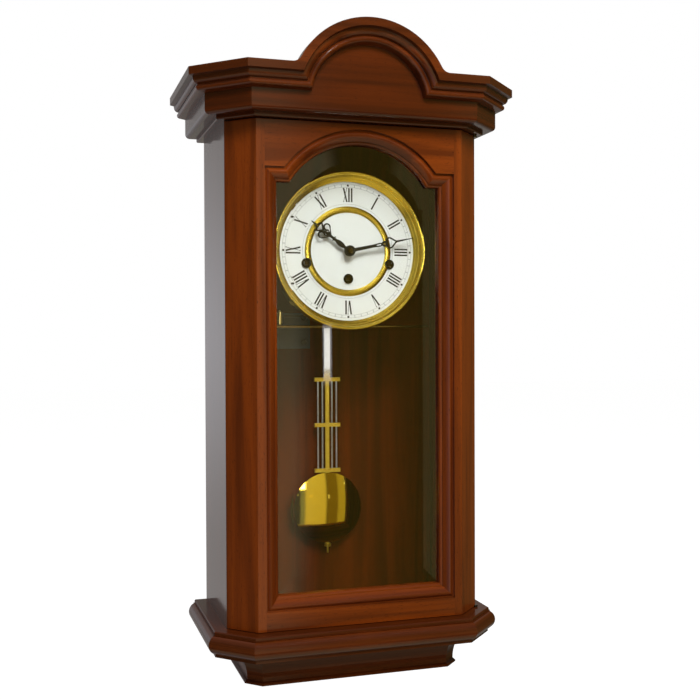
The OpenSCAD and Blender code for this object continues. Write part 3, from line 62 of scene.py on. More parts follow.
# %% [markdown]
# ## Colours
#
# Paint charts and photo editors give colours as sRGB hex values, but a renderer adds light up in linear
# numbers. One function turns the first into the second, so every colour below can be written as hex.


# %% sRGB hex to linear
def linear(code):
    """Each channel below 0.04045 is divided by 12.92, and above that ((c + 0.055) / 1.055) ** 2.4."""
    c = np.array([int(code[i : i + 2], 16) for i in (1, 3, 5)]) / 255
    c = np.where(c <= 0.04045, c / 12.92, ((c + 0.055) / 1.055) ** 2.4)
    return (float(c[0]), float(c[1]), float(c[2]), 1.0)


print("mid grey #808080 is", round(linear("#808080")[0], 3))


# %% [markdown]
# ## Nodes
#
# A material is a small network. One helper adds a node with its settings and its links, and another
# starts a material with a single Principled shader, whose plain sockets are given by name.


# %% Helpers for materials
def node(tree, kind, inputs=None, **settings):
    """A new node. inputs maps a socket's name or number to a value, or to the output that feeds it."""
    made = tree.nodes.new(kind)
    for key, value in settings.items():
        setattr(made, key, value)
    for key, value in (inputs or {}).items():
        if isinstance(value, bpy.types.NodeSocket):
            tree.links.new(value, made.inputs[key])
        else:
            made.inputs[key].default_value = value
    return made


def blank(name, sockets):
    """A material with a Principled shader wired to its output. Returns material, tree and shader."""
    material = bpy.data.materials.new(name)
    material.use_nodes = True
    tree = material.node_tree
    tree.nodes.clear()
    shader = node(tree, "ShaderNodeBsdfPrincipled", sockets)
    node(tree, "ShaderNodeOutputMaterial", {"Surface": shader.outputs[0]})
    return material, tree, shader


print("helpers ready")

# %% [markdown]
# ## Camera
#
# The photograph was taken from the left, a little above the middle of the clock, with a normal lens.
# Its position and angles were worked out from the edges of the case. The camera's axes are written
# straight into its matrix: right, up and backwards as columns.

# %% Camera at the photograph's angle
EYE = (-0.34665, -1.23172, -0.24744)
LENS_MM, SENSOR_MM = 52.49, 36
yaw, pitch, roll = (math.radians(a) for a in (17.28, -0.87, -0.21))
ahead = Vector((math.sin(yaw) * math.cos(pitch), math.cos(yaw) * math.cos(pitch), math.sin(pitch)))
level = Vector((math.cos(yaw), -math.sin(yaw), 0))
upward = level.cross(ahead)
right = level * math.cos(roll) + upward * math.sin(roll)
up = upward * math.cos(roll) - level * math.sin(roll)

camera_data = bpy.data.cameras.new("camera")
camera_data.sensor_width = SENSOR_MM
camera_data.lens = LENS_MM
camera_data.clip_start, camera_data.clip_end = 0.05, 60
camera = bpy.data.objects.new("camera", camera_data)
bpy.context.scene.collection.objects.link(camera)
turned = Matrix((right, up, -ahead)).transposed().to_4x4()
camera.matrix_world = Matrix.Translation(EYE) @ turned
bpy.context.scene.camera = camera
print("camera", [round(v, 3) for v in camera.matrix_world.translation], "lens", camera_data.lens)

# %% [markdown]
# ## Room
#
# Lacquered wood and polished brass look like what they mirror, so the room matters. The flat front of
# the clock mirrors one narrow part of it, 12 to 22 degrees to the right of straight ahead, and that part
# is dim, because the glass is clear in the photograph. On both sides of it hangs a bright cream wall,
# which fills the bob. The strip that carries the pendulum is flat too, but it shines white, so it gets a
# bright window to mirror, half a degree wide. A pale wall behind the clock makes its left side shine
# grey, because lacquer seen at a glance is almost a mirror. The camera itself sees plain white, also
# straight through the open door's pane.
#
# The room is a colour for each direction. `bearing` is the angle to the right of straight ahead, and
# `dz` is the sine of the angle above the horizon. Each part is laid over the parts before it.

# %% Directions in the room
world = bpy.data.worlds.new("room")
bpy.context.scene.world = world
world.use_nodes = True
sky = world.node_tree
sky.nodes.clear()
direction = node(sky, "ShaderNodeSeparateXYZ", {0: node(sky, "ShaderNodeTexCoord").outputs["Generated"]})
dx, dy, dz = direction.outputs
toward = node(sky, "ShaderNodeMath", {0: dy, 1: -1.0}, operation="MULTIPLY").outputs[0]
bearing = node(sky, "ShaderNodeMath", {0: dx, 1: toward}, operation="ARCTAN2").outputs[0]
off_level = node(sky, "ShaderNodeMath", {0: dz}, operation="ABSOLUTE").outputs[0]
ramp = dict(interpolation_type="SMOOTHSTEP")


def lay_over(below, colour, limits):
    """A colour over another. Its share is a product of smooth steps, each given as (value, 0 at, 1 at)."""
    share = 1.0
    for value, none, full in limits:
        step = node(sky, "ShaderNodeMapRange", {"Value": value, "From Min": none, "From Max": full}, **ramp)
        share = node(sky, "ShaderNodeMath", {0: share, 1: step.outputs[0]}, operation="MULTIPLY").outputs[0]
    return node(sky, "ShaderNodeMix", {0: share, 6: below, 7: colour}, data_type="RGBA").outputs[2]


def sector(start, end, soft=1.0):
    """Limits of a part of the room between two bearings in degrees. soft is half the width of its edges."""
    low, high, edge = (math.radians(v) for v in (start, end, soft))
    return [(bearing, low - edge, low + edge), (bearing, high + edge, high - edge)]


print("direction nodes:", len(sky.nodes))

# %% Walls, floor, ceiling and window
# Colour, first and last bearing in degrees, softness of the edges
walls = [
    ("#868b92", -62, -30, 4),
    ("#dde5f2", -30, -14, 3),
    ("#1f1e18", -13, -6, 1),
    ("#8d97a6", -6, -2.5, 1),
    ("#eedfac", -2.5, 14.2, 1.3),
    ("#84702c", 15.5, 23.4, 0.7),
    ("#c4b574", 23.4, 35.5, 1),
    ("#241f16", 35.5, 60, 1),
]
room = linear("#6a5c36")
for code, start, end, soft in walls:
    room = lay_over(room, linear(code), sector(start, end, soft))
carpet, tiles, ceiling = (linear(code) for code in ("#2e2618", "#d6cba0", "#827e72"))
room = lay_over(room, carpet, [(dz, -0.41, -0.43)])
room = lay_over(room, tiles, [(dz, -0.58, -0.66)])
room = lay_over(room, ceiling, [(dz, 0.3, 0.6)])
daylight = (2.2, 2.2, 2.3, 1.0)
room = lay_over(room, daylight, sector(15.77, 16.26, 0.05) + [(dz, -0.052, -0.04), (dz, 0.012, 0.006)])
behind = (dy, 0.1, 0.4)
room = lay_over(room, linear("#a09c94"), [behind])
room = lay_over(room, linear("#505330"), [(dx, 0.65, 0.8)])
pale_wall = lay_over(linear("#d9d8dc"), linear("#aeaaa8"), [(off_level, 0.0, 0.22)])
room = lay_over(room, pale_wall, [behind, (dx, 0.1, -0.02)])
print("parts of the room:", len(walls) + 7)

# %% White background
path = node(sky, "ShaderNodeLightPath").outputs
depths = {0: path["Glossy Depth"], 1: path["Diffuse Depth"]}
bounces = node(sky, "ShaderNodeMath", depths, operation="ADD").outputs[0]
straight = node(sky, "ShaderNodeMath", {0: bounces, 1: 0.5}, operation="LESS_THAN").outputs[0]
crossing = {0: path["Is Transmission Ray"], 1: straight}
through = node(sky, "ShaderNodeMath", crossing, operation="MULTIPLY").outputs[0]
seen = node(sky, "ShaderNodeMath", {0: path["Is Camera Ray"], 1: through}, operation="MAXIMUM").outputs[0]
room = node(sky, "ShaderNodeMix", {0: seen, 6: room, 7: (1.0, 1.0, 1.0, 1.0)}, data_type="RGBA").outputs[2]
lit = node(sky, "ShaderNodeBackground", {"Color": room, "Strength": 1.0})
node(sky, "ShaderNodeOutputWorld", {"Surface": lit.outputs[0]})
print("world nodes:", len(sky.nodes))

# %% [markdown]
# ## Lamps
#
# The hands cast faint shadows straight down the dial, so the key light stands above the camera. It is
# half a metre wide, which makes the shadows as soft as in the photograph. A wide fill from the front
# gives most of the light. It leaves no mirror image, like light that has bounced off a room. A small
# bare lamp makes the glare on the bob.
#
# From the photograph's side and from the front, no lamp leaves a white square on the pane, where it
# would hide the dial: the key stands too high for that, the fill has no mirror image, and only things
# behind the pane mirror the bare lamp. A ray that they send to it has crossed four faces of the glass,
# two each way, while the pane's own reflections cross two at most.


# %% Softboxes
def softbox(name, place, aim, size, power, mirrored=True, inside=True):
    """Square lamp at place, turned to aim.

    mirrored says if polished things show it, and inside if rays that have crossed the pane reach it.
    """
    lamp = bpy.data.lights.new(name, "AREA")
    lamp.shape, lamp.size, lamp.energy = "SQUARE", size, power
    made = bpy.data.objects.new(name, lamp)
    bpy.context.scene.collection.objects.link(made)
    made.location = place
    made.rotation_euler = (Vector(aim) - Vector(place)).to_track_quat("-Z", "Y").to_euler()
    made.visible_camera = False
    made.visible_glossy, made.visible_transmission = mirrored, inside
    return made


softbox("key_softbox", (-0.2, -2.0, 1.55), (0, -0.1, -0.2), 0.5, 22, inside=False)
softbox("front_fill", (0.35, -1.7, 1.15), (0, -0.1, -0.25), 1.0, 38, mirrored=False, inside=False)
print("softboxes:", len(bpy.data.lights))

# %% Bare lamp
bare = softbox("bare_lamp", (-0.32, -2.6, 0.0), (0, 0, -0.4), 0.38, 36)
bare.visible_diffuse = False
bare.data.use_nodes = True
bulb = bare.data.node_tree
path = node(bulb, "ShaderNodeLightPath").outputs
polished = node(bulb, "ShaderNodeMath", {0: path["Diffuse Depth"], 1: 0.5}, operation="LESS_THAN")
behind_pane = node(bulb, "ShaderNodeMath", {0: path["Transmission Depth"], 1: 2.5}, operation="GREATER_THAN")
shares = {0: polished.outputs[0], 1: behind_pane.outputs[0]}
shine = node(bulb, "ShaderNodeMath", shares, operation="MULTIPLY").outputs[0]
source = next(n for n in bulb.nodes if n.bl_idname == "ShaderNodeEmission")
bulb.links.new(shine, source.inputs["Strength"])

# %% [markdown]
# ## Floor
#
# The clock hangs on a wall, so the floor is a plain pale sheet well below it. Most of its brightness is
# its own for the camera, which keeps the background white, and the rest comes from the lamps, so that a
# shadow still shows on it. The lacquer and the brass mirror the room instead of the floor.

# %% Floor
FLOOR_DROP, REACH = 0.3, 12.0
floor_z = cad_box[0].z - FLOOR_DROP
corners = [(x * REACH, y * REACH, floor_z) for x, y in ((-1, -1), (1, -1), (1, 1), (-1, 1))]
floor_mesh = bpy.data.meshes.new("floor")
floor_mesh.from_pydata(corners, [], [(0, 1, 2, 3)])
floor = bpy.data.objects.new("floor", floor_mesh)
bpy.context.scene.collection.objects.link(floor)
floor_paper = bpy.data.materials.new("white_paper_sweep")
floor_paper.use_nodes = True
tree = floor_paper.node_tree
tree.nodes.clear()
glow = node(tree, "ShaderNodeEmission", {"Color": (1.0, 1.0, 1.0, 1.0), "Strength": 0.92})
paper = node(tree, "ShaderNodeBsdfDiffuse", {"Color": linear("#8f939c")})
plain = node(tree, "ShaderNodeBsdfDiffuse", {"Color": linear("#b8b6b0")})
shown = node(tree, "ShaderNodeAddShader", {0: glow.outputs[0], 1: paper.outputs[0]})
view_ray = node(tree, "ShaderNodeLightPath").outputs["Is Camera Ray"]
pick = node(tree, "ShaderNodeMixShader", {0: view_ray, 1: plain.outputs[0], 2: shown.outputs[0]})
node(tree, "ShaderNodeOutputMaterial", {"Surface": pick.outputs[0]})
floor_mesh.materials.append(floor_paper)
floor.visible_glossy = floor.visible_transmission = False
print("floor at", round(floor_z, 3))

# %% [markdown]
# ## Mahogany stain under gloss lacquer
#
# The case is a close-grained hardwood, stained red-brown and sprayed with clear gloss lacquer. Up close
# it has three scales: bands of darker and lighter figure about 20 mm wide, fibre streaks about 2 mm
# wide, and short dark pores. All run along the grain, so one noise pattern is stretched twenty times in
# that direction. The lacquer is a clear coat, which mirrors little head-on and a lot at a glance.
#
# Stiles and side boards have upright grain, rails have level grain. A moulding that goes round the
# canted case has its grain along each strip, so its pattern follows the case's outline: the position is
# turned into distance along the outline, stand-out from the case, and height.

# %% Distance along the case
# Half the width of the case, its depth, how far its cants cut in, and the widest strip, in metres
HALF_W, CASE_D, CANT = 0.1472, 0.1642, 0.029
WIDEST_STRIP = 0.032
SLANT = math.sqrt(0.5)


def along_case(tree, place):
    """Distance along the outline |x| - y, stand-out (the greatest of the distances to the faces), and z."""
    xyz = node(tree, "ShaderNodeSeparateXYZ", {0: place}).outputs
    side = node(tree, "ShaderNodeMath", {0: xyz[0]}, operation="ABSOLUTE").outputs[0]
    run = node(tree, "ShaderNodeMath", {0: side, 1: xyz[1]}, operation="SUBTRACT").outputs[0]
    to_side = node(tree, "ShaderNodeMath", {0: side, 1: HALF_W}, operation="SUBTRACT").outputs[0]
    front = {0: xyz[1], 1: -1.0, 2: -CASE_D}
    to_front = node(tree, "ShaderNodeMath", front, operation="MULTIPLY_ADD").outputs[0]
    cant_face = {0: run, 1: SLANT, 2: -(HALF_W + CASE_D - CANT) * SLANT}
    to_cant = node(tree, "ShaderNodeMath", cant_face, operation="MULTIPLY_ADD").outputs[0]
    out = node(tree, "ShaderNodeMath", {0: to_side, 1: to_front}, operation="MAXIMUM").outputs[0]
    out = node(tree, "ShaderNodeMath", {0: out, 1: to_cant}, operation="MAXIMUM").outputs[0]
    round_case = node(tree, "ShaderNodeCombineXYZ", {0: run, 1: out, 2: xyz[2]}).outputs[0]
    # Further in than the widest strip lies the board behind it, with its grain from side to side
    board = node(tree, "ShaderNodeMath", {0: out, 1: -WIDEST_STRIP}, operation="LESS_THAN").outputs[0]
    return node(tree, "ShaderNodeMix", {0: board, 4: round_case, 5: place}, data_type="VECTOR").outputs[1]


print("outline of half the case:", round(HALF_W + CASE_D - CANT, 3), "m")


# %% Stained wood
# Features per metre: a band in 22 mm, a fibre in 2.4 mm, a pore 0.8 mm wide, a swell in 6 mm
BANDS, FIBRES, PORES, SWELLS = 45, 420, 1300, 160
# Along the grain the figure is 20 times as long as across it, and a pore 7 times
ALONG_GRAIN, ALONG_PORE = 0.05, 0.14
PORE_DARK = "#2a0f05"


def stained_wood(name, grain, shift=0.0, light="#783308", dark="#542005", gloss=0.11, coat=0.8, streak=0.5):
    """Lacquered wood with its grain up, across or round the case. shift moves the pattern along it."""
    material, tree, shader = blank(
        name,
        {
            "Roughness": 0.55,
            "IOR": 1.5,
            "Specular IOR Level": 0.05,
            "Coat Weight": coat,
            "Coat Roughness": gloss,
            "Coat IOR": 1.45,
        },
    )
    place = node(tree, "ShaderNodeTexCoord").outputs["Object"]
    if grain == "round":
        place = along_case(tree, place)
    stretch, pore_stretch = [(1, 1, k) if grain == "up" else (k, 1, 1) for k in (ALONG_GRAIN, ALONG_PORE)]
    grown = {"Vector": place, "Location": (shift, 0.7 * shift, shift), "Scale": stretch}
    along_grain = node(tree, "ShaderNodeMapping", grown).outputs[0]
    pitted = {"Vector": place, "Location": (shift, 0, 0), "Scale": pore_stretch}
    pore_place = node(tree, "ShaderNodeMapping", pitted).outputs[0]
    figure = {"Vector": along_grain, "Scale": BANDS, "Detail": 3, "Distortion": 0.8}
    fibre = {"Vector": along_grain, "Scale": FIBRES, "Detail": 3, "Roughness": 0.6}
    pores = {"Vector": pore_place, "Scale": PORES, "Detail": 1}
    # Bands of the light colour over the dark one, then streaks, then pores. Each layer has its pattern,
    # the values where it starts and where it is full, its greatest share, and its colour
    layers = [
        (figure, 0.34, 0.66, 1.0, light),
        (fibre, 0.5, 0.72, streak, dark),
        (pores, 0.64, 0.74, 0.55, PORE_DARK),
    ]
    colour = linear(dark)
    for pattern, none, full, most, code in layers:
        noise = node(tree, "ShaderNodeTexNoise", pattern).outputs[0]
        limits = {"Value": noise, "From Min": none, "From Max": full, "To Max": most}
        share = node(tree, "ShaderNodeMapRange", limits, **ramp).outputs[0]
        layered = {0: share, 6: colour, 7: linear(code)}
        colour = node(tree, "ShaderNodeMix", layered, data_type="RGBA").outputs[2]
    tree.links.new(colour, shader.inputs["Base Color"])
    # The lacquer follows the fibres a little, so a reflection is never quite straight
    swell = node(tree, "ShaderNodeTexNoise", {"Vector": along_grain, "Scale": SWELLS, "Detail": 2}).outputs[0]
    bump = node(tree, "ShaderNodeBump", {"Height": swell, "Strength": 0.12, "Distance": 0.0004}).outputs[0]
    tree.links.new(bump, shader.inputs["Coat Normal"])
    tree.links.new(bump, shader.inputs["Normal"])
    return material


# %% Boards and mouldings
woods = {
    "door_left_stile": stained_wood("stained_stile_left", "up", 0.0),
    "door_right_stile": stained_wood("stained_stile_right", "up", 3.1),
    "door_top_rail": stained_wood("stained_rail_top", "across", 1.3),
    "door_bottom_rail": stained_wood("stained_rail_bottom", "across", 5.2),
    "left_side": stained_wood("stained_side_left", "up", 7.7, light="#5a280b", dark="#451c08", coat=1.0),
    "right_side": stained_wood("stained_side_right", "up", 9.4, light="#5a280b", dark="#451c08", coat=1.0),
    "plinth": stained_wood("stained_plinth", "round", 2.2, light="#5c2708", dark="#3c1604", coat=0.6),
    "pedestal": stained_wood("stained_pedestal", "round", 4.6, light="#5c290a", dark="#421a06", coat=0.35),
    # Frieze and crown are stained darker than the door. The extra darkness is painted shade, on the frieze
    # for the shadow under the crown's overhang
    "frieze": stained_wood("frieze_stain_and_painted_shade", "round", 6.1, light="#531f04", dark="#3a1403"),
    "crown_moulding": stained_wood("crown_stain_and_painted_shade", "round", 8.3, light="#602808", dark="#401804", coat=0.7),
    "top_board": stained_wood("stained_top", "across", 3.9, gloss=0.25, coat=0.6),
    "back_panel": stained_wood(
        "stained_back", "up", 5.9, light="#5a2104", dark="#401602", gloss=0.3, coat=0.12, streak=0.35
    ),
    "glazing_strips": stained_wood("stained_strips", "up", 1.7, gloss=0.25, coat=0.5),
}
print("woods:", len(woods))

# %% [markdown]
# ## Brass and steel
#
# Three finishes of one alloy: the bob and the pendulum's bars are polished and lacquered, the bezel and
# the dial's ring are spun, so that fine turning lines run round them, and the movement's plates and
# wheels are only brushed. Steel parts are ground, zinc plated or blackened. The winding arbors are steel
# coloured dark brown as painted shade for the deep holes they sit in, and the centre arbor takes the same
# colour. All are one recipe with other colours, roughness and lines. A metal keeps the default IOR, and
# its colour is in the base colour.


# %% Metal finishes
# Features per metre: specks in 1.1 mm, one turning line in 0.4 mm, one brush line in 0.45 mm, waves in 17 mm
SPECKS, TURNING_LINES, BRUSH_LINES, WAVES = 900, 2500, 2200, 60


def metal(name, light, dark, rough, patch, lines=None, centre=None, depth=0.00002, spread=0.3):
    """Metal whose colour wanders between two tones, in patches of that size in metres.

    lines may be "spun", for rings about the centre, or "brushed". depth is that of its relief in metres,
    and spread the share by which its roughness varies.
    """
    material, tree, shader = blank(name, {"Metallic": 1.0})
    place = node(tree, "ShaderNodeTexCoord").outputs["Object"]
    cloud = node(tree, "ShaderNodeTexNoise", {"Vector": place, "Scale": 1 / patch, "Detail": 4})
    tones = {0: cloud.outputs[0], 6: linear(dark), 7: linear(light)}
    colour = node(tree, "ShaderNodeMix", tones, data_type="RGBA").outputs[2]
    tree.links.new(colour, shader.inputs["Base Color"])
    fine = node(tree, "ShaderNodeTexNoise", {"Vector": place, "Scale": SPECKS, "Detail": 2}).outputs[0]
    limits = {"Value": fine, "To Min": rough * (1 - spread), "To Max": rough * (1 + spread)}
    tree.links.new(node(tree, "ShaderNodeMapRange", limits).outputs[0], shader.inputs["Roughness"])
    if lines == "spun":
        # Noise along the radius alone makes rings
        moved = node(tree, "ShaderNodeMapping", {"Vector": place, "Location": tuple(-c for c in centre)})
        flat = node(tree, "ShaderNodeVectorMath", {0: moved.outputs[0], 1: (1, 0, 1)}, operation="MULTIPLY")
        radius = node(tree, "ShaderNodeVectorMath", {0: flat.outputs[0]}, operation="LENGTH").outputs["Value"]
        rings = {"W": radius, "Scale": TURNING_LINES, "Detail": 1}
        height = node(tree, "ShaderNodeTexNoise", rings, noise_dimensions="1D").outputs[0]
    elif lines == "brushed":
        drawn = node(tree, "ShaderNodeMapping", {"Vector": place, "Scale": (0.06, 1, 1)}).outputs[0]
        brushing = {"Vector": drawn, "Scale": BRUSH_LINES, "Detail": 2}
        height = node(tree, "ShaderNodeTexNoise", brushing).outputs[0]
    else:
        height = node(tree, "ShaderNodeTexNoise", {"Vector": place, "Scale": WAVES, "Detail": 1}).outputs[0]
    bump = node(tree, "ShaderNodeBump", {"Height": height, "Strength": 0.25, "Distance": depth}).outputs[0]
    tree.links.new(bump, shader.inputs["Normal"])
    return material


ring_low, ring_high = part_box("bezel")
hub = ((ring_low.x + ring_high.x) / 2, 0.0, (ring_low.z + ring_high.z) / 2)
polished_brass = metal("polished_brass", "#e3c74a", "#d6b53c", 0.06, 0.05, depth=0.000002)
bar_brass = metal("drawn_brass", "#ecd05a", "#d8b644", 0.3, 0.02)
spun_brass = metal("spun_brass", "#ecce54", "#e0bf48", 0.25, 0.03, "spun", hub, depth=0.000002, spread=0.1)
plate_brass = metal("brushed_brass", "#cdb168", "#b39550", 0.3, 0.04, "brushed")
rod_bronze = metal("bronze_rod", "#b89a5c", "#9c7c42", 0.22, 0.01)
dark_bronze = metal("darkened_bronze", "#6a5a38", "#4a3f28", 0.25, 0.003)
bright_steel = metal("ground_steel", "#f2f3f5", "#dfe1e4", 0.3, 0.01)
zinc_steel = metal("zinc_plate", "#c2c4c2", "#a2a5a6", 0.34, 0.006)
blued_steel = metal("tempered_spring_steel", "#9aa0aa", "#868c96", 0.2, 0.01)
# Painted shade: steel coloured dark brown for the winding arbors deep in their holes, and for the centre
# arbor
steel_with_painted_shade = metal("steel_with_painted_shade", "#57492c", "#3a301e", 0.3, 0.004)
black_oxide = metal("black_oxide_steel", "#3a3a38", "#2a2a29", 0.3, 0.004)
print("hub of the dial:", [round(v, 4) for v in hub])

# %% [markdown]
# ## A true mirror for the bob
#
# The bob is two shallow domes and a flat rim. The CAD model turns each dome from ten straight steps,
# which gives its mirror images zigzag edges. The shape stays, but the brass can reckon with the normals
# of the real dome: on a sphere the normal points straight away from the sphere's centre. The radius of
# the sphere follows from the bob's radius a and the dome's height h: (a * a + h * h) / (2 * h).

# %% Normals of the domes
HALF_RIM = 0.0012
low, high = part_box("pendulum_bob")
middle = (low + high) / 2
dome = (high.y - low.y) / 2 - HALF_RIM
sphere = ((high.x - low.x) ** 2 / 4 + dome**2) / (2 * dome)
tree = polished_brass.node_tree
place = node(tree, "ShaderNodeTexCoord").outputs["Object"]
from_middle = node(tree, "ShaderNodeVectorMath", {0: place, 1: tuple(middle)}, operation="SUBTRACT")
xyz = node(tree, "ShaderNodeSeparateXYZ", {0: from_middle.outputs[0]}).outputs
side = node(tree, "ShaderNodeMath", {0: xyz[1]}, operation="SIGN").outputs[0]
inward = {0: side, 1: sphere - dome - HALF_RIM, 2: xyz[1]}
from_centre = node(tree, "ShaderNodeMath", inward, operation="MULTIPLY_ADD").outputs[0]
spoke = node(tree, "ShaderNodeCombineXYZ", {0: xyz[0], 1: from_centre, 2: xyz[2]}).outputs[0]
to_world = dict(vector_type="NORMAL", convert_from="OBJECT", convert_to="WORLD")
true_normal = node(tree, "ShaderNodeVectorTransform", {0: spoke}, **to_world).outputs[0]
off_middle = node(tree, "ShaderNodeMath", {0: xyz[1]}, operation="ABSOLUTE").outputs[0]
past_rim = {0: off_middle, 1: HALF_RIM + 0.00002}
on_dome = node(tree, "ShaderNodeMath", past_rim, operation="GREATER_THAN").outputs[0]
mesh_normal = node(tree, "ShaderNodeNewGeometry").outputs["Normal"]
choice = {0: on_dome, 4: mesh_normal, 5: true_normal}
normal = node(tree, "ShaderNodeMix", choice, data_type="VECTOR").outputs[1]
bump = next(n for n in tree.nodes if n.bl_idname == "ShaderNodeBump")
tree.links.new(normal, bump.inputs["Normal"])
print("radius of the bob's spheres:", round(sphere, 4))

# %% [markdown]
# ## Pieces of two metals
#
# The pendulum's strip and middle bar are one piece, near white above and brass in the grid. The white is
# partly tinned steel and partly painted reflection: its near-white colour stands for a white thing that
# the strip mirrors. A hammer is a brass head on a steel arm. Each gets one material that tells the two
# parts by place: the strip by height, and the hammers by a slanting plane, because their heads stand in a
# slanting row.

# %% Pendulum strip
STRIP_LOW, STRIP_HIGH = -0.3, -0.288
strip_tin_and_painted_white, tree, shader = blank("suspension_strip_tin_and_painted_reflection", {})
place = node(tree, "ShaderNodeTexCoord").outputs["Object"]
above = node(tree, "ShaderNodeSeparateXYZ", {0: place}).outputs[2]
limits = {"Value": above, "From Min": STRIP_LOW, "From Max": STRIP_HIGH}
share = node(tree, "ShaderNodeMapRange", limits, **ramp).outputs[0]
worn = node(tree, "ShaderNodeTexNoise", {"Vector": place, "Scale": 150, "Detail": 3}).outputs[0]
# Painted reflection: the near-white colour of the upper strip stands partly for a white thing mirrored in it
tin_and_painted_white = node(tree, "ShaderNodeMix", {0: worn, 6: linear("#f1efec"), 7: linear("#ffffff")}, data_type="RGBA")
bar = node(tree, "ShaderNodeMix", {0: worn, 6: linear("#d8b644"), 7: linear("#ecd05a")}, data_type="RGBA")
tone = node(tree, "ShaderNodeMix", {0: share, 6: bar.outputs[2], 7: tin_and_painted_white.outputs[2]}, data_type="RGBA")
tree.links.new(tone.outputs[2], shader.inputs["Base Color"])
for socket, brass_value, white_part_value in (("Metallic", 1.0, 0.8), ("Roughness", 0.33, 0.07)):
    value = node(tree, "ShaderNodeMapRange", {"Value": share, "To Min": brass_value, "To Max": white_part_value})
    tree.links.new(value.outputs[0], shader.inputs[socket])
print("brass below", STRIP_LOW, "m and tin above", STRIP_HIGH, "m")

# %% Hammers
SLOPE, HEAD_END = 0.2375, -0.04935
hammer_finish, tree, shader = blank("hammer_brass_and_steel", {"Metallic": 1.0})
place = node(tree, "ShaderNodeTexCoord").outputs["Object"]
xyz = node(tree, "ShaderNodeSeparateXYZ", {0: place}).outputs
across = node(tree, "ShaderNodeMath", {0: xyz[1], 1: -SLOPE, 2: xyz[0]}, operation="MULTIPLY_ADD").outputs[0]
arm = node(tree, "ShaderNodeMath", {0: across, 1: HEAD_END}, operation="GREATER_THAN").outputs[0]
smear = node(tree, "ShaderNodeTexNoise", {"Vector": place, "Scale": 200, "Detail": 2}).outputs[0]
tones = []
for dull, bright in (("#d9bd62", "#efdc9a"), ("#2c2b29", "#3f3d3a")):
    smeared = {0: smear, 6: linear(dull), 7: linear(bright)}
    tones.append(node(tree, "ShaderNodeMix", smeared, data_type="RGBA").outputs[2])
tone = node(tree, "ShaderNodeMix", {0: arm, 6: tones[0], 7: tones[1]}, data_type="RGBA").outputs[2]
tree.links.new(tone, shader.inputs["Base Color"])
matte = node(tree, "ShaderNodeMapRange", {"Value": smear, "To Min": 0.25, "To Max": 0.45}).outputs[0]
tree.links.new(matte, shader.inputs["Roughness"])
print("a hammer's head ends where x -", SLOPE, "y passes", HEAD_END)

# %% [markdown]
# ## Iron, enamel, paint and plastic
#
# The chime rods' block is cast iron under dark grey paint, rough from the sand mould. The dial is white
# lacquer on sheet metal, almost without texture, and its print is ink. The hands are pressed steel
# painted black, and the rims of the winding holes are black too, but shiny. The catch is moulded plastic.


# %% Painted finishes
def paint(name, base, shade, rough, grain, depth, coat=0.0, spec=0.5):
    """Paint or plastic: base and shade mottled over grain metres, with a fine relief of that depth."""
    material, tree, shader = blank(
        name, {"IOR": 1.5, "Coat Weight": coat, "Coat Roughness": 0.1, "Specular IOR Level": spec}
    )
    place = node(tree, "ShaderNodeTexCoord").outputs["Object"]
    cloud = node(tree, "ShaderNodeTexNoise", {"Vector": place, "Scale": 1 / grain, "Detail": 5})
    tones = {0: cloud.outputs[0], 6: linear(shade), 7: linear(base)}
    colour = node(tree, "ShaderNodeMix", tones, data_type="RGBA").outputs[2]
    tree.links.new(colour, shader.inputs["Base Color"])
    relief = node(tree, "ShaderNodeTexNoise", {"Vector": place, "Scale": 6 / grain, "Detail": 3})
    limits = {"Value": relief.outputs[0], "To Min": rough * 0.85, "To Max": rough * 1.15}
    tree.links.new(node(tree, "ShaderNodeMapRange", limits).outputs[0], shader.inputs["Roughness"])
    height = {"Height": relief.outputs[0], "Strength": 0.3, "Distance": depth}
    tree.links.new(node(tree, "ShaderNodeBump", height).outputs[0], shader.inputs["Normal"])
    return material


cast_iron = paint("painted_cast_iron", "#2d302e", "#1f2120", 0.5, 0.004, 0.0003)
dial_lacquer = paint("white_dial_lacquer", "#eff2f6", "#e8ebee", 0.42, 0.03, 0.00002, spec=0.35)
hand_paint = paint("black_hand_paint", "#161714", "#0f100d", 0.45, 0.003, 0.00002, spec=0.2)
rim_paint = paint("black_rim_enamel", "#17160f", "#0e0d09", 0.14, 0.003, 0.00001, coat=0.6)
catch_plastic = paint("ivory_abs_plastic", "#d9d5c8", "#cdc8ba", 0.45, 0.004, 0.00003)
black_ink = paint("black_dial_ink", "#161613", "#0f0f0c", 0.5, 0.002, 0.00001)
grey_ink = paint("grey_dial_ink", "#989da6", "#8d929b", 0.5, 0.002, 0.00001)
print("materials so far:", len(bpy.data.materials))

# %% [markdown]
# ## Bevelled glass
#
# The pane is 4 mm float glass with a wide ground and polished bevel. It is a true solid, so light bends
# at the bevel and shows a pale strip there. Light for the inside of the case has to pass it, and a
# renderer is slow to find that way by itself, so the pane lets shadow rays through.

# %% Glass
float_glass, tree, shader = blank(
    "float_glass",
    {"Base Color": linear("#fafbf8"), "Roughness": 0.0, "IOR": 1.5, "Transmission Weight": 1.0},
)
place = node(tree, "ShaderNodeTexCoord").outputs["Object"]
wave = node(tree, "ShaderNodeTexNoise", {"Vector": place, "Scale": 9, "Detail": 0})
bump = node(tree, "ShaderNodeBump", {"Height": wave.outputs[0], "Strength": 0.02, "Distance": 0.001})
tree.links.new(bump.outputs[0], shader.inputs["Normal"])
clear = node(tree, "ShaderNodeBsdfTransparent", {"Color": linear("#f4f5f1")})
shadow = node(tree, "ShaderNodeLightPath").outputs["Is Shadow Ray"]
pane = node(tree, "ShaderNodeMixShader", {0: shadow, 1: shader.outputs[0], 2: clear.outputs[0]})
out = next(n for n in tree.nodes if n.bl_idname == "ShaderNodeOutputMaterial")
tree.links.new(pane.outputs[0], out.inputs["Surface"])
print("glass ready")

# %% [markdown]
# ## Dressing the CAD pieces
#
# Each piece takes its finish through its material slot. Its shape stays as the CAD model made it.

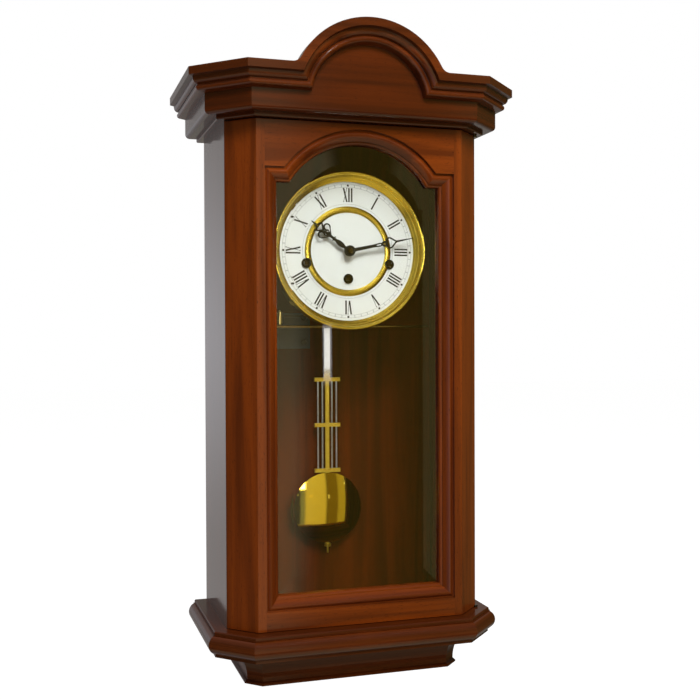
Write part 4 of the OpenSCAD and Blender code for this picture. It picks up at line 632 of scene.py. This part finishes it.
# %% Finishes by piece
finishes = [
    (spun_brass, ["bezel", "dial_centre_ring"]),
    (polished_brass, ["pendulum_bob"]),
    (bar_brass, ["pendulum_crossbars", "rating_nut", "door_screws"]),
    (strip_tin_and_painted_white, ["pendulum_rod"]),
    (plate_brass, ["front_plate", "back_plate", "plate_pillars", "pillar_nuts", "chime_drum"]),
    (plate_brass, ["time_barrel", "chime_barrel", "strike_barrel", "intermediate_wheel", "third_wheel"]),
    (plate_brass, ["escape_wheel", "hour_wheel", "minute_wheel"]),
    (dark_bronze, ["case_hinge_leaves", "door_hinge_leaves", "hand_nut"]),
    (hammer_finish, ["hammer_1", "hammer_2", "hammer_3", "hammer_4"]),
    # The arbors' dark brown is painted shade, not a finish of the steel
    (steel_with_painted_shade, ["time_winding_arbor", "chime_winding_arbor", "strike_winding_arbor", "centre_arbor"]),
    (bright_steel, ["anchor", "hammer_arbor", "pendulum_steel_rods"]),
    (zinc_steel, ["hanger_plate", "movement_brackets", "catch_plate"]),
    (black_oxide, ["case_screws"]),
    (blued_steel, ["suspension_spring"]),
    (rod_bronze, ["chime_rods"]),
    (cast_iron, ["rod_block"]),
    (dial_lacquer, ["dial_plate"]),
    (rim_paint, ["winding_grommets"]),
    (hand_paint, ["minute_hand", "hour_hand"]),
    (catch_plastic, ["magnet_catch"]),
    (float_glass, ["door_glass"]),
]
dress = dict(woods)
for finish, names in finishes:
    dress.update(dict.fromkeys(names, finish))
for name, material in dress.items():
    for slot in nodes[name].material_slots:
        slot.material = material
print("dressed", len(dress), "of", len(nodes), "pieces; left:", sorted(set(nodes) - set(dress)))

# %% [markdown]
# ## Printing the dial
#
# The numerals are printed with their feet to the middle of the dial. Each is a few straight strokes: a
# broad one for I, the left of V and one leg of X, and a hairline for the others and for the feet. So
# every stroke is a row of numbers: which hour, where it starts and ends, and how wide it is. One array
# operation turns all rows into quadrilaterals, and a Solidify modifier gives the ink its thickness.


# %% Surfaces from arrays
def surface(name, points, faces, material, thickness, body):
    """Mesh piece from an array of points and an array of faces, thickened backwards into the dial."""
    mesh = bpy.data.meshes.new(name)
    mesh.from_pydata(points.reshape(-1, 3).tolist(), [], faces.tolist())
    mesh.materials.append(material)
    made = bpy.data.objects.new(name, mesh)
    bpy.context.scene.collection.objects.link(made)
    wall = made.modifiers.new("ink", "SOLIDIFY")
    wall.thickness, wall.offset = thickness, -1
    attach(made, body)
    print(name, "has", len(mesh.polygons), "faces")
    return made


def on_dial(angle, across, outward, lift):
    """Point at a clock angle in radians: outward from the hub, across to the right of that line."""
    x = hub[0] + outward * np.sin(angle) + across * np.cos(angle)
    z = hub[2] + outward * np.cos(angle) - across * np.sin(angle)
    return np.stack([x, np.full_like(x, face_y - lift), z], axis=-1)


face_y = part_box("dial_plate")[0].y
INK = 0.00006
print("dial face at y =", round(face_y, 4))


# %% [markdown]
# A stroke from (u0, v0) to (u1, v1) of half width w has four corners: each end moved by w to either
# side. The strokes of a numeral with feet lie level at its ends, so the corners move along u alone.


# %% Strokes
def strokes(name, rows, material):
    """rows: angle, u0, v0, u1, v1, half width, 1 if its ends are cut level. Units are metres and radians."""
    rows = np.array(rows, float)
    angle, u0, v0, u1, v1, w, cut = rows.T
    long = np.hypot(u1 - u0, v1 - v0)
    rise = np.maximum(np.abs(v1 - v0), 1e-9)
    side_u = np.where(cut > 0, w * long / rise, w * (v1 - v0) / long)
    side_v = np.where(cut > 0, 0, -w * (u1 - u0) / long)
    u = np.stack([u0 - side_u, u0 + side_u, u1 + side_u, u1 - side_u], axis=1)
    v = np.stack([v0 - side_v, v0 + side_v, v1 + side_v, v1 - side_v], axis=1)
    points = on_dial(angle[:, None], u, v, INK)
    faces = np.arange(len(rows) * 4).reshape(-1, 4)
    # The front of the dial faces -Y, so each quadrilateral is turned to face that way
    normal = np.cross(points[:, 1] - points[:, 0], points[:, 2] - points[:, 0])[:, 1]
    faces = np.where(normal[:, None] > 0, faces[:, ::-1], faces)
    return surface(name, points, faces, material, INK, "case")


print("ink:", round(INK * 1000, 3), "mm thick")

# %% Hour numerals
# Half widths of the strokes, and the radii of the numerals' feet and tops
BROAD, HAIR = 0.00092, 0.00028
FOOT, TOP = 0.0567, 0.0721
ADVANCE = {"I": 0.0033, "V": 0.0054, "X": 0.0058}
# How far from a letter's middle its strokes end: V at its tops and its foot, X at all four ends
V_BROAD_TOP, V_BROAD_FOOT = -0.0018, 0.0003
V_HAIR_TOP, V_HAIR_FOOT = 0.002, 0.0007
X_END = 0.0019
# Half the length of a serif, on a broad stroke and on a hairline
SERIF, SMALL_SERIF = 0.0011, 0.0008
numerals = ["XII", "I", "II", "III", "IIII", "V", "VI", "VII", "VIII", "IX", "X", "XI"]
rows = []
for hour, numeral in enumerate(numerals):
    angle = math.radians(30 * hour)
    u = -sum(ADVANCE[c] for c in numeral) / 2
    for c in numeral:
        m = u + ADVANCE[c] / 2
        u += ADVANCE[c]
        if c == "I":
            rows.append((angle, m, FOOT, m, TOP, BROAD, 1))
            ends = [(m, FOOT, SERIF), (m, TOP, SERIF)]
        elif c == "V":
            rows.append((angle, m + V_BROAD_TOP, TOP, m + V_BROAD_FOOT, FOOT, BROAD, 1))
            rows.append((angle, m + V_HAIR_TOP, TOP, m + V_HAIR_FOOT, FOOT, HAIR, 1))
            ends = [(m + V_BROAD_TOP, TOP, SERIF), (m + V_HAIR_TOP, TOP, SMALL_SERIF)]
        else:
            rows.append((angle, m - X_END, TOP, m + X_END, FOOT, BROAD, 1))
            rows.append((angle, m + X_END, TOP, m - X_END, FOOT, HAIR, 1))
            ends = [(m - X_END, TOP, SERIF), (m + X_END, FOOT, SERIF)]
            ends += [(m + X_END, TOP, SMALL_SERIF), (m - X_END, FOOT, SMALL_SERIF)]
        for at, level_v, half in ends:
            rows.append((angle, at - half, level_v, at + half, level_v, HAIR, 0))
strokes("hour_numerals", rows, black_ink)

# %% [markdown]
# ## Minute track
#
# Between two hairline circles stand forty-eight short bars, one for each minute that is no full hour,
# all in pale grey. A black dot marks each hour. A circle is a surface of two parameters, angle and
# radius.


# %% Circles, bars and dots
def circles(name, radii, material, count=240):
    """Flat rings about the hub. At each of count angles, one point lies inside a radius and one outside."""
    angle = np.linspace(0, 2 * math.pi, count, endpoint=False)
    radius = np.array([(r - TRACK_HAIR, r + TRACK_HAIR) for r in radii])
    points = on_dial(angle[None, :, None], np.zeros((1, 1, 1)), radius[:, None, :], INK)
    k = np.arange(count)
    after = (k + 1) % count
    quad = np.stack([2 * k, 2 * after, 2 * after + 1, 2 * k + 1], axis=1)
    faces = (quad[None] + 2 * count * np.arange(len(radii))[:, None, None]).reshape(-1, 4)
    return surface(name, points, faces[:, ::-1], material, INK, "case")


# Radii of the track and of the circle inside the numerals, and half widths of the lines
TRACK_IN, TRACK_OUT, INNER = 0.0733, 0.0765, 0.0540
TRACK_HAIR, BAR = 0.00015, 0.0003
circles("minute_circles", (TRACK_IN, TRACK_OUT), grey_ink)
circles("inner_circle", (INNER,), grey_ink)
minutes = [m for m in range(60) if m % 5]
bars = [(math.radians(6 * m), 0, TRACK_IN, 0, TRACK_OUT, BAR, 1) for m in minutes]
strokes("minute_bars", bars, grey_ink)

# Radius of a dot, the distance of its middle from the hub, its corners, and its thicker ink
DOT, DOT_AT, SIDES = 0.00125, 0.0752, 20
DOT_INK = 1.5 * INK
turn = np.linspace(0, 2 * math.pi, SIDES, endpoint=False)
hours = np.radians(30 * np.arange(12))[:, None]
dots = on_dial(hours, DOT * np.sin(turn)[None], DOT_AT + DOT * np.cos(turn)[None], DOT_INK)
dot_faces = np.arange(12 * SIDES).reshape(12, SIDES)
surface("hour_dots", dots, dot_faces, black_ink, DOT_INK, "case")

# %% [markdown]
# ## View
#
# The scene shows its colours through the standard view transform.

# %% Standard view transform
bpy.context.scene.view_settings.view_transform = "Standard"
bpy.context.view_layer.update()
